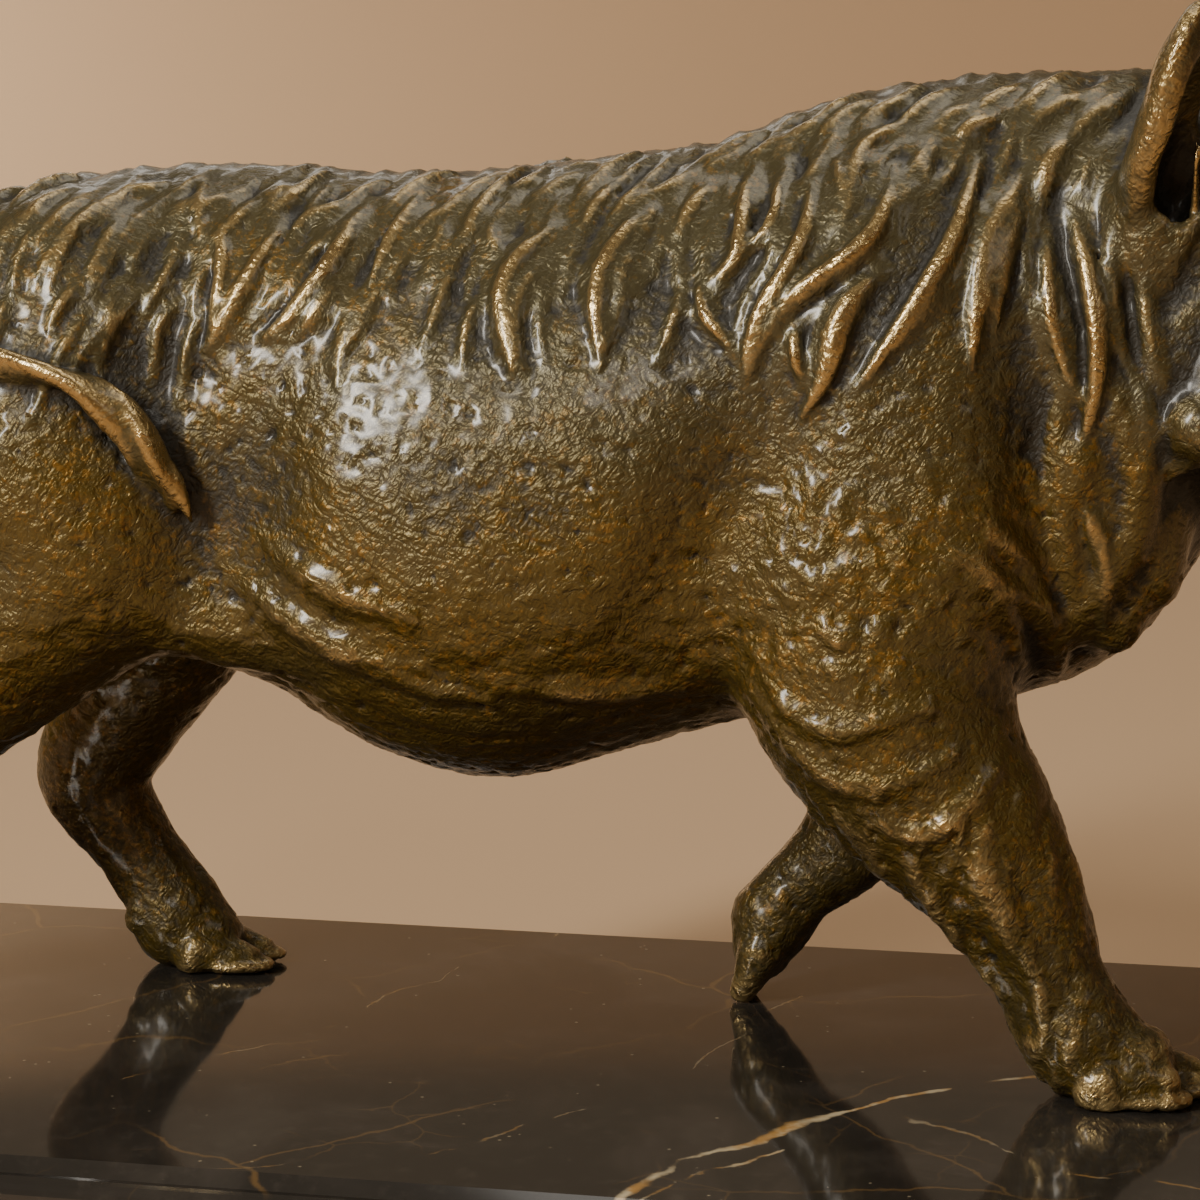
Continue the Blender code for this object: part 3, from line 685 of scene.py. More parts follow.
@dataclass(frozen=True)
class Lock:
    """A lock or fold on the flank: its root and tip over x and z, its bow, its hook and its width."""

    root: tuple[float, float]
    tip: tuple[float, float]
    bow: float
    hook: float
    width: float

    def stops(self, count: int = 9) -> Iterator[tuple[float, float, float]]:
        """Places over x and z from root to tip, each with a radius."""
        root, along = np.array(self.root), np.subtract(self.tip, self.root).astype(float)
        across = np.array((-along[1], along[0])) / np.linalg.norm(along)
        for t in np.linspace(0, 1, count):
            sway = self.bow * math.sin(math.pi * t) - self.hook * math.sin(2 * math.pi * t)
            x, z = root + along * t + across * sway
            yield x, z, self.width / 2 * (0.72 + 0.3 * math.sin(math.pi * t) - 0.42 * t**3)

    def varied(self, chance: random.Random, reach: float = 3.0) -> "Lock":
        """The same lock, moved and stretched a little."""
        shift, longer = chance.uniform(-reach, reach), chance.uniform(-reach, reach)
        tip = (self.tip[0] + shift + chance.uniform(-reach, reach) * 0.6, self.tip[1] + longer)
        return Lock((self.root[0] + shift, self.root[1]), tip, self.bow, -self.hook, self.width)

    def beside(self, chance: random.Random) -> "Lock":
        """A finer, shorter lock close behind or before this one."""
        away = chance.choice((-1, 1)) * (self.width * 0.5 + chance.uniform(0.6, 1.4))
        start, end = chance.uniform(0.0, 0.25), chance.uniform(0.7, 0.95)
        root, tip = ((self.root[0] + (self.tip[0] - self.root[0]) * t + away,
                      self.root[1] + (self.tip[1] - self.root[1]) * t) for t in (start, end))
        return Lock(root, tip, self.bow * 0.8, self.hook, self.width * chance.uniform(0.55, 0.75))

    def between(self, other: "Lock", share: float, chance: random.Random, width: float) -> "Lock":
        """A finer lock part of the way to another."""
        root = [a + (b - a) * share + chance.uniform(-1, 1) for a, b in zip(self.root, other.root)]
        tip = [a + (b - a) * share + chance.uniform(-2, 2) for a, b in zip(self.tip, other.tip)]
        return Lock(tuple(root), tuple(tip), self.bow + (other.bow - self.bow) * share, self.hook, width)


class Flank:
    """The surface of one side of the body, on which locks and folds are laid."""

    def __init__(self, clay: Clay, side: Side) -> None:
        """Reads the surface as it is now."""
        self.clay = clay
        self.side = side
        self.depth = clay.flank(side.value)

    def point(self, x: float, z: float) -> np.ndarray:
        """The point of the surface at x and z, or at the highest z there is below it."""
        step, low = self.clay.step, self.clay.low
        column = int(round((x - low[0]) / step))
        there = np.flatnonzero(~np.isnan(self.depth[column]))
        z = min(z, low[2] + step * (there[-1] - 0.4))
        row = int(np.clip((z - low[2]) / step, there[0], there[-1] - 1))
        share = np.clip((z - low[2]) / step - row, 0, 1)
        ends = self.depth[column, row], self.depth[column, row + 1]
        out = ends[0] if np.isnan(ends[1]) else ends[0] + (ends[1] - ends[0]) * share
        return np.array((x, out, z))

    def crest(self, x: float) -> float:
        """The height of the back at x."""
        return float(self.point(x, math.inf)[2])

    def strand(self, lock: Lock, sink: float) -> list[Stop]:
        """A lock's stops on the surface, sunk by a share of their radius and deeper at the root."""
        made = []
        for i, (x, z, radius) in enumerate(lock.stops()):
            point = self.point(x, z)
            point[1] -= self.side.value * radius * (sink + max(0.0, 0.9 - 0.4 * i))
            made.append((tuple(point), radius))
        return made


@dataclass
class StrandSweep:
    """Geometry Nodes that sweep each path into a few strands which twist round it."""

    strands: int = 2
    spread: float = 0.26
    turns: float = 0.4
    share: float = 0.80
    spacing: float = 0.8
    sides: int = 10

    def sweep(self, paths: Sequence[list[Stop]], material: bpy.types.Material) -> bpy.types.Mesh:
        """Makes closed tubes along paths.

        Args:
            paths: for each strand its points and radii.
            material: what the tubes are made of.

        Returns:
            The tubes as one plain mesh.
        """
        holder = add_object("strand_paths", self._lines(paths))
        tree, sockets = self._tree()
        sweep = holder.modifiers.new("sweep", "NODES")
        sweep.node_group = tree
        inputs = {"Strands": self.strands, "Spread": self.spread, "Turns": self.turns, "Share": self.share}
        inputs |= {"Spacing": self.spacing, "Sides": self.sides, "Material": material}
        for name, value in inputs.items():
            sweep[sockets[name]] = value
        made = modified_mesh(holder)
        holder.modifiers.remove(sweep)
        bpy.data.objects.remove(holder)
        bpy.data.node_groups.remove(tree)
        return made

    @staticmethod
    def _lines(paths: Sequence[list[Stop]]) -> bpy.types.Mesh:
        """The paths as edges, with each point's radius as an attribute."""
        points, edges, radii = [], [], []
        for path in paths:
            first = len(points)
            points.extend(tuple(point) for point, _ in path)
            radii.extend(radius for _, radius in path)
            edges.extend((i, i + 1) for i in range(first, len(points) - 1))
        mesh = bpy.data.meshes.new("strand_paths")
        mesh.from_pydata(points, edges, [])
        mesh.attributes.new("thickness", "FLOAT", "POINT").data.foreach_set("value", radii)
        return mesh

    def _tree(self) -> tuple[bpy.types.NodeTree, dict[str, str]]:
        """The tree, and the identifier of each of its named inputs."""
        tree = bpy.data.node_groups.new("sweep_strands", "GeometryNodeTree")
        bench = Bench(tree)
        names = self._sockets(tree.interface)
        given = bench.node("NodeGroupInput")
        line = bench.node("GeometryNodeMeshToCurve", {}, {"Mesh": given["Paths"]})["Curve"]
        smooth = bench.node("GeometryNodeCurveSplineType", {"spline_type": "CATMULL_ROM"}, {"Curve": line})
        values = {"Curve": smooth["Curve"], "Length": given["Spacing"]}
        even = bench.node("GeometryNodeResampleCurve", {"mode": "LENGTH"}, values)["Curve"]
        values = {"Geometry": even, "Amount": given["Strands"]}
        copies = bench.node("GeometryNodeDuplicateElements", {"domain": "SPLINE"}, values)
        read = bench.node("GeometryNodeInputNamedAttribute", {"data_type": "FLOAT"}, {"Name": "thickness"})
        radius = read["Attribute"]
        values = {"Geometry": copies["Geometry"], "Offset": self._twist(bench, given, copies, radius)}
        placed = bench.node("GeometryNodeSetPosition", {}, values)["Geometry"]
        values = {"Resolution": given["Sides"], "Radius": 1.0}
        ring = bench.node("GeometryNodeCurvePrimitiveCircle", {}, values)["Curve"]
        values = {"Curve": placed, "Profile Curve": ring, "Scale": radius * given["Share"]}
        tubes = bench.node("GeometryNodeCurveToMesh", {}, values | {"Fill Caps": True})["Mesh"]
        whole = bench.node("GeometryNodeRealizeInstances", {}, {"Geometry": tubes})["Geometry"]
        values = {"Geometry": whole, "Material": given["Material"]}
        dressed = bench.node("GeometryNodeSetMaterial", {}, values)["Geometry"]
        bench.node("NodeGroupOutput", {}, {"Tubes": dressed})
        return tree, names

    @staticmethod
    def _sockets(face: bpy.types.NodeTreeInterface) -> dict[str, str]:
        """Adds the tree's sockets, and gives the identifier of each input that takes a value."""
        kinds = {"Strands": "Int", "Spread": "Float", "Turns": "Float", "Share": "Float", "Spacing": "Float"}
        kinds |= {"Sides": "Int", "Material": "Material"}
        face.new_socket("Paths", in_out="INPUT", socket_type="NodeSocketGeometry")
        names = {}
        for name, kind in kinds.items():
            names[name] = face.new_socket(name, in_out="INPUT", socket_type=f"NodeSocket{kind}").identifier
        face.new_socket("Tubes", in_out="OUTPUT", socket_type="NodeSocketGeometry")
        return names

    @staticmethod
    def _twist(bench: Bench, given: Built, copies: Built, radius: Signal) -> Signal:
        """How far each strand stands off its path, turning round it on the way along."""
        along = bench.node("GeometryNodeSplineParameter")["Factor"]
        angle = (copies["Duplicate Index"] / given["Strands"] + along * given["Turns"] + 0.12) * math.tau
        reach = radius * given["Spread"] * along.math("SINE", along * math.pi)
        normal = bench.node("GeometryNodeInputNormal")["Normal"]
        tangent = bench.node("GeometryNodeInputTangent")["Tangent"]
        other = bench.vector("CROSS_PRODUCT", tangent, normal)[0]
        parts = (bench.scaled(direction, angle.math(wave, angle) * reach)
                 for direction, wave in ((normal, "COSINE"), (other, "SINE")))
        return bench.vector("ADD", *parts)[0]


# The animal


@dataclass(frozen=True)
class Mass:
    """A rounded mass: its middle, its half lengths, its tilt about Y, its seam, and the sides it is on."""

    centre: Point
    radii: Point
    tilt: float = 0.0
    seam: float = 6.0
    sides: tuple[int, ...] = BOTH

    def places(self) -> Iterator[Point]:
        """Its middle, or its middles on both sides."""
        for side in self.sides if self.centre[1] else (1,):
            yield mirrored(self.centre, side)

    def shapes(self) -> Iterator[Shape]:
        """Its ellipsoids."""
        for place in self.places():
            yield ellipsoid(place, self.radii, self.tilt)


@dataclass(frozen=True)
class Limb:
    """A leg: its bone as points with radii, its hoof, and how far the outer claw stands back."""

    bone: tuple[Stop, ...]
    fetlock: Point
    toe: Point
    claw: float
    stagger: float

    def press(self, clay: Clay, seam: float = 5.0, flat: float = 0.82) -> None:
        """Adds the leg down to the pastern."""
        clay.press_on(chain(self.bone, 6, flat), seam)

    def press_hoof(self, clay: Clay) -> None:
        """Adds the pastern, two flat claws under its edge, and two dewclaws behind."""
        fetlock, toe, half = np.array(self.fetlock, float), np.array(self.toe, float), self.claw
        ahead = (toe - fetlock) / np.linalg.norm(toe - fetlock)
        clay.press_on(capsule(fetlock, fetlock * 0.58 + toe * 0.42, (half * 1.45, half * 1.2)), 2.5)
        outer = -1 if self.fetlock[1] < 0 else 1
        stands_flat = ahead[2] > STEEPEST_FOOT
        for side in BOTH:
            across = np.array((0, side * half * 0.74, 0))
            back = self.stagger if side == outer else 0.0
            heel = fetlock * (0.62 + back * 0.5) + toe * (0.38 - back * 0.5) + across
            heel[2] = min(heel[2], half * 0.62) if stands_flat else heel[2]
            tip = toe + across * 0.9 - (toe - fetlock) * back
            clay.press_on(capsule(heel, tip, (half * 0.98, half * 0.5)), 0.5)
            if stands_flat:
                sole = (heel * 0.45 + tip * 0.55) * (1, 1, 0) + np.array((0, 0, 1.2))
                size = (abs(tip[0] - heel[0]) / 2 + half * 0.85, half * 0.92, 1.25)
                clay.press_on(ellipsoid(sole, size), 0.25)
            dewclaw = fetlock - ahead * half * 1.1 + np.array((0, side * half * 0.95, half * 0.2))
            clay.press_on(ellipsoid(dewclaw, (half * 0.5, half * 0.42, half * 0.66), 20), 0.9)


@dataclass
class Head:
    """The head in its own frame, with its origin in the skull and x along the nose."""

    origin: Point = (68, 0, 101)
    pitch: float = 24.0
    yaw: float = -9.0
    scale: float = 1.12
    masses: dict[str, Mass] = field(default_factory=lambda: {
        "skull": Mass((-2, 0, 2), (19, 15.5, 16.5), 0, 7),
        "forehead": Mass((12, 0, 8), (17, 11, 8), 8, 6),
        "brow": Mass((9, 9.5, 11.5), (9, 5, 4.6), -8, 3),
        "cheek": Mass((2, 10, -10), (13.5, 9, 14), 12, 2.5),
        "bridge": Mass((26, 0, 1.5), (28, 9.5, 8.6), 5, 6),
        "muzzle": Mass((38, 0, -4.5), (20, 11, 9), 2, 6),
        "lower_jaw": Mass((26, 0, -14), (25, 8.5, 6.6), -6, 4),
        "jaw_angle": Mass((12, 6.5, -13), (15, 7.5, 9), -4, 5),
        "lip": Mass((45, 9.5, -7), (9, 5, 5), 0, 3),
        "snout_rim": Mass((56.5, 0, -5), (4.2, 12, 9.6), 8, 2.0),
        "eye_wart": Mass((13, 16.5, -2.5), (5.4, 7.6, 4.6), -10, 1.6),
        "nose_wart": Mass((33, 12.5, 2.5), (4.4, 5, 3.6), 0, 1.4),
        "jaw_wart": Mass((6, 17, -15), (5, 4, 4), 0, 2.0),
        "eye_socket": Mass((12, 11.8, 7.5), (5, 3.4, 3.6), 0, 2),
        "eye": Mass((12.6, 14.0, 7.6), (2.3, 1.8, 1.8), 0, 0.4),
    })
    ear_root: Point = (-7, 13.5, 1.2)
    ear_tip: Point = (-15.8, 20.5, 22.6)
    ear_size: Point = (3.0, 6.8, 2.5)
    ear_hollow: float = 4.2
    upper_tusk: tuple[Stop, ...] = (
        ((45, 11, -7), 3.1), ((46, 18.5, -8.5), 2.9), ((46.5, 24, -5), 2.4), ((45.5, 26, 2), 1.9),
        ((43, 24.5, 8.5), 1.3), ((40, 21.5, 12), 0.8),
    )
    lower_tusk: tuple[Stop, ...] = (
        ((40, 11, -10), 2.0), ((41, 16, -8), 1.6), ((41, 18, -3), 1.2), ((40, 17.5, 1), 0.8),
    )
    mouth: tuple[Stop, ...] = (
        ((58, 8, -13), 0.9), ((46, 12, -13.5), 1.0), ((32, 11, -13), 0.9), ((20, 14, -10), 0.7),
    )
    lids: tuple = (
        (((8, 13.4, 8.4), 0.9), ((12, 15.2, 10.2), 1.2), ((16.4, 13.6, 8.6), 0.9)),
        (((8, 13.4, 6.6), 0.8), ((12, 15.6, 5.4), 1.1), ((16.4, 13.6, 6.6), 0.8)),
        (((6, 12.6, 11.6), 0.9), ((12, 13.6, 13.2), 1.3), ((18, 12.0, 10.8), 0.9)),
        (((9, 15.2, 3.4), 0.7), ((14, 15.6, 3.0), 1.0), ((19, 13.4, 5.0), 0.7)),
    )
    nostril: Point = (60.6, 4.8, -4.6)
    wrinkles: int = 5

    def place(self, point: Sequence[float]) -> np.ndarray:
        """A point of the head's frame, in the figure's."""
        return np.array(self._turn()) @ np.array(point, float) * self.scale + np.array(self.origin, float)

    def _turn(self, tilt: float = 0.0, roll: float = 0.0) -> np.ndarray:
        """The turn of the head, with a further tilt and roll."""
        head = Euler((0, math.radians(self.pitch), math.radians(self.yaw))).to_matrix()
        return np.array(head @ Euler((math.radians(roll), math.radians(tilt), 0)).to_matrix())

    def _shape(self, centre: Sequence[float], radii: Sequence[float], side: int = 1, tilt: float = 0.0,
               roll: float = 0.0) -> Shape:
        """An ellipsoid of the head's frame."""
        size = np.array(radii, float) * self.scale
        return ellipsoid(self.place(mirrored(centre, side)), size, turn=self._turn(tilt, roll))

    def rod(self, stops: Sequence[Stop], side: int) -> Shape:
        """A bent rod of the head's frame."""
        turned = [(mirrored(point, side), radius * self.scale) for point, radius in stops]
        return chain(turned, 5, place=self.place)

    def press(self, clay: Clay) -> None:
        """Adds the head."""
        for mass in self.masses.values():
            for place in mass.places():
                clay.press_on(self._shape(place, mass.radii, 1, mass.tilt), mass.seam)
        for side in BOTH:
            self._press_ear(clay, side)
            self._press_snout(clay, side)
            for lid in self.lids:
                clay.press_on(self.rod(lid, side), 0.9)
            clay.cut_out(self.rod(self.mouth, side), 0.8)
            clay.press_on(self.rod(self.upper_tusk, side), 0.5)
            clay.press_on(self.rod(self.lower_tusk, side), 0.5)

    def _press_ear(self, clay: Clay, side: int) -> None:
        """Adds a leaf of clay with its hollow turned forwards and outwards."""
        root, tip = np.array(self.ear_root, float), np.array(self.ear_tip, float)
        middle, length = (root + tip) / 2, np.linalg.norm(tip - root) / 2
        lean = -side * math.degrees(math.atan2(tip[1] - root[1], tip[2] - root[2]))
        leaf = (self.ear_size[0], self.ear_size[1], length + self.ear_size[2])
        clay.press_on(self._shape(middle, leaf, side, -6, lean), 2.0)
        clay.press_on(self._shape(root, (5.5, 5.5, 6), side), 3.0)
        hollow = middle + np.array((self.ear_hollow * 0.8, 1.2, 0.5))
        size = (self.ear_hollow, self.ear_size[1] * 0.7, length * 0.86)
        clay.cut_out(self._shape(hollow, size, side, -6, lean), 0.9)

    def _press_snout(self, clay: Clay, side: int) -> None:
        """Opens a nostril with its rim, and lays the wrinkles over the nose."""
        rim = [(np.array(self.nostril) + (-0.6, 2.9 * math.cos(a), 2.6 * math.sin(a)), 0.95)
               for a in np.linspace(0, math.tau, 10)]
        clay.press_on(self.rod(rim, side), 0.8)
        clay.cut_out(self._shape(self.nostril, (3.6, 2.3, 1.9), side), 0.6)
        for i in range(self.wrinkles):
            x = 49 - 3.4 * i
            top = 6.6 - 0.35 * i
            stops = [((x + 0.9 * math.sin(t * 2), 1 + 8.6 * t, top - 5.4 * t * t), 0.75 - 0.25 * t)
                     for t in (0, 0.35, 0.7, 1)]
            clay.press_on(self.rod(stops, side), 1.2)

    def strands(self, chance: random.Random) -> Iterator[list[Stop]]:
        """The whiskers of both jaws and the hair in both ears."""
        for side in BOTH:
            for i in range(13):
                x = -10 + 2.5 * i + chance.uniform(-0.6, 0.6)
                root = np.array((x, 16.4 - 0.02 * (x - 6) ** 2, -13 - chance.uniform(0, 3)))
                reach = np.array((-4.5, 0.6, -7.5)) * chance.uniform(0.8, 1.25)
                yield self._wisp(root, reach, side, 0.95)
            for i in range(4):
                root = np.array(self.ear_root) + (2.4, -2.2 + 1.6 * i, 3.0)
                reach = (np.array(self.ear_tip) - self.ear_root) * (0.5, 0.5, 0.55 + 0.08 * (i % 2))
                yield self._wisp(root, reach, side, 0.7)

    def _wisp(self, root: np.ndarray, reach: np.ndarray, side: int, width: float) -> list[Stop]:
        """A short tapered strand of the head's frame."""
        made = []
        for t in np.linspace(0, 1, 6):
            point = root + reach * t + np.array((0, 1.2 * math.sin(math.pi * t), 0))
            made.append((tuple(self.place(mirrored(point, side))), width * (1.1 - 0.75 * t)))
        return made


@dataclass
class Mane:
    """The hair along the spine, its locks down the flanks, and the folds of the skin below them."""

    locks: tuple[Lock, ...] = (
        Lock((-82, 110), (-86, 104), 0, 0, 2.6),
        Lock((-73, 112), (-77, 105), 1, 0, 2.6),
        Lock((-64, 112), (-60, 102), -0.5, 0, 2.4),
        Lock((-60.5, 108), (-59.5, 91), 2, 0, 2.8),
        Lock((-51, 107), (-60, 90), 0.8, 0, 3.2),
        Lock((-41, 109), (-52, 92), 2.2, 0, 3.6),
        Lock((-42, 101), (-48, 92), 1, 0, 2.4),
        Lock((-33, 111), (-38.5, 98), -0.5, 0, 2.6),
        Lock((-22, 113), (-27, 102), -1, 0, 2.8),
        Lock((-25, 107), (-20.5, 101), 0, 0, 1.9),
        Lock((-13, 107), (-18, 88), -5, 0.5, 3.4),
        Lock((-15, 104), (-16.5, 88), -2.8, 0, 2.4),
        Lock((-8, 112), (-12, 104), -0.5, 0, 2.4),
        Lock((-2, 110), (-7.5, 90), -3.6, 0, 3.2),
        Lock((-4, 105), (-5.5, 96), -1, 0, 2.2),
        Lock((5, 112), (0, 103), -1, 0, 2.8),
        Lock((-2, 110), (-5, 103), 0, 0, 2.2),
        Lock((11, 118), (0, 110), -1.5, 0, 2.4),
        Lock((9, 114), (3, 99), 3, 1, 3.0),
        Lock((12, 114), (6, 102), 3.5, 0, 2.4),
        Lock((4, 101), (9, 91), -1, 0.5, 2.2),
        Lock((17, 112), (10, 88), 0.5, -1, 3.2),
        Lock((27, 114), (11, 89), 0.8, -2, 3.4),
        Lock((29, 119), (22, 109), -3, 0, 2.8),
        Lock((19, 115.5), (22, 108.5), 0, 0, 1.9),
        Lock((27, 102), (17, 84), -1.2, 0.8, 3.4),
        Lock((16, 96), (18.5, 87), -0.8, 0, 2.2),
        Lock((36.5, 116), (23.5, 87.5), 2.6, -0.4, 3.3),
        Lock((35, 104), (28.5, 93), 0.3, 0, 2.2),
        Lock((33.5, 115.5), (40, 119.5), 1.4, 0, 2.8),
        Lock((44, 115), (37, 90), -2.4, 0.3, 3.4),
        Lock((43.5, 112), (39.5, 93), -1.2, 0, 2.8),
        Lock((48, 118), (44, 108), -1, 0, 3.0),
    )
    neck: tuple[Lock, ...] = (
        Lock((47.5, 111), (49.5, 79), 3, 0.5, 3.4),
        Lock((45, 108), (51, 84), -1.6, 0, 2.4),
        Lock((51, 119), (56, 88), -0.6, -0.5, 2.8),
        Lock((56, 110), (64, 77), -2, 0, 2.8),
        Lock((56, 90), (58.5, 77), 0.3, 0, 3.0),
        Lock((50, 116), (49, 108), 0, 0, 2.2),
        Lock((52, 118), (50.5, 109), 0, 0, 2.2),
        Lock((54, 117), (54, 100), -0.8, 0, 2.4),
        Lock((50, 76), (53, 58), 1.2, 0, 3.0),
    )
    folds: tuple[tuple[Lock, tuple[int, ...]], ...] = (
        (Lock((51, 93), (47, 56), 8, 0, 6.0), BOTH),
        (Lock((12, 56), (33, 50), -6.5, 0.8, 2.6), NEAR_ONLY),
        (Lock((11, 51), (36, 44), -7, -0.8, 3.0), NEAR_ONLY),
        (Lock((24, 38), (41, 42), -5.5, 0.5, 2.4), NEAR_ONLY),
        (Lock((37, 33), (48, 9), 1.5, 0, 3.2), NEAR_ONLY),
        (Lock((31, 31), (42, 14), -1, 0, 2.8), NEAR_ONLY),
        (Lock((41, 64), (47, 51), 2.5, 0, 4.0), NEAR_ONLY),
        (Lock((48.5, 92), (49.5, 56), -1.2, 0.8, 3.4), BOTH),
        (Lock((49.5, 82), (50, 74), 0, 0, 5.4), BOTH),
        (Lock((57, 82), (57, 75), 0, 0, 5.0), BOTH),
        (Lock((53.5, 76), (50.5, 57), 0.8, 0, 2.4), BOTH),
        (Lock((38, 72), (45.5, 60), 1.5, 0, 2.2), NEAR_ONLY),
        (Lock((34, 70), (43, 56), 2.0, 0, 2.0), NEAR_ONLY),
        (Lock((46, 36), (55, 12), 1.0, 0.6, 2.6), NEAR_ONLY),
        (Lock((-56, 63), (-30, 52), -2, 0, 4.6), BOTH),
        (Lock((-52, 68), (-30, 59), -1.5, 0, 3.4), BOTH),
        (Lock((-45, 56), (-22, 48), -1, 0, 3.0), BOTH),
        (Lock((-22, 51), (2, 50), -1, 0, 2.6), BOTH),
    )
    reach: tuple[float, float] = (-90, 56)
    coats: tuple[tuple, ...] = (
        (36, 1.5, (9.0, 6.5), 2.8, -0.1),
        (64, 1.8, (6.0, 10.0), 2.1, 0.0),
        (64, 8.0, (4.5, 11.0), 1.9, 0.05),
    )
    curl: tuple[float, float, float] = (-13, 3.4, 1.1)
    broad_sink: float = -0.35
    beside_sink: float = 0.1
    between_sink: float = 0.2
    hair_gap: float = 3.0
    widest_parting: float = 16

    def strands(self, flank: Flank) -> tuple[list, list]:
        """All strands of one flank.

        Args:
            flank: the surface they lie on.

        Returns:
            The paths of the broad locks and of the fine hair.
        """
        chance = random.Random(40 + flank.side.value)
        near = flank.side is Side.NEAR
        locks = self.locks if near else [lock.varied(chance) for lock in self.locks]
        broad = [flank.strand(lock, self.broad_sink) for lock in (*locks, *self.neck)]
        fine = [flank.strand(lock.beside(chance), self.beside_sink) for lock in (*locks, *self.neck)]
        fine += [flank.strand(lock, self.between_sink) for lock in self._between(locks, chance)]
        for count, drop, fall, width, sink in self.coats:
            hairs = self._crest(flank, chance, count, drop, fall, width)
            fine += [flank.strand(lock, sink) for lock in hairs]
        if near:
            broad.append(self._whorl(flank))
        return broad, fine

    def _between(self, locks: Sequence[Lock], chance: random.Random) -> Iterator[Lock]:
        """Finer locks between each lock and the next."""
        ordered = sorted(locks, key=lambda lock: lock.root[0])
        for one, other in zip(ordered, ordered[1:]):
            count = int((other.root[0] - one.root[0]) / self.hair_gap)
            for i in range(max(1, count)):
                share = (i + 1) / (count + 2)
                made = one.between(other, share, chance, chance.uniform(1.6, 2.4))
                if abs(other.tip[0] - one.tip[0]) < self.widest_parting:
                    yield made

    def _crest(self, flank: Flank, chance: random.Random, count: int, drop: float, fall: tuple[float, float],
               width: float) -> Iterator[Lock]:
        """Short hair at about drop below the spine, combed back by fall[0] and down by fall[1]."""
        for i in range(count):
            x = self.reach[0] + (self.reach[1] - self.reach[0]) * (i + chance.uniform(0.1, 0.9)) / count
            longer = chance.uniform(0.6, 1.4)
            top = flank.crest(x) - drop * chance.uniform(0, 2)
            tip = (x - fall[0] * longer * chance.uniform(0.6, 1.2), top - fall[1] * longer)
            yield Lock((x, top), tip, chance.uniform(-2.0, 0.5), chance.uniform(-0.5, 0.5), width)

    def _whorl(self, flank: Flank) -> list[Stop]:
        """The small curl beside the spine."""
        x, radius, thickness = self.curl
        top = flank.crest(x) - radius
        made = []
        for turn in np.linspace(0, 1.75 * math.pi, 11):
            spot = flank.point(x + radius * math.cos(turn), top + radius * 0.7 * math.sin(turn))
            made.append((tuple(spot), thickness * (1.1 - 0.05 * turn)))
        return made


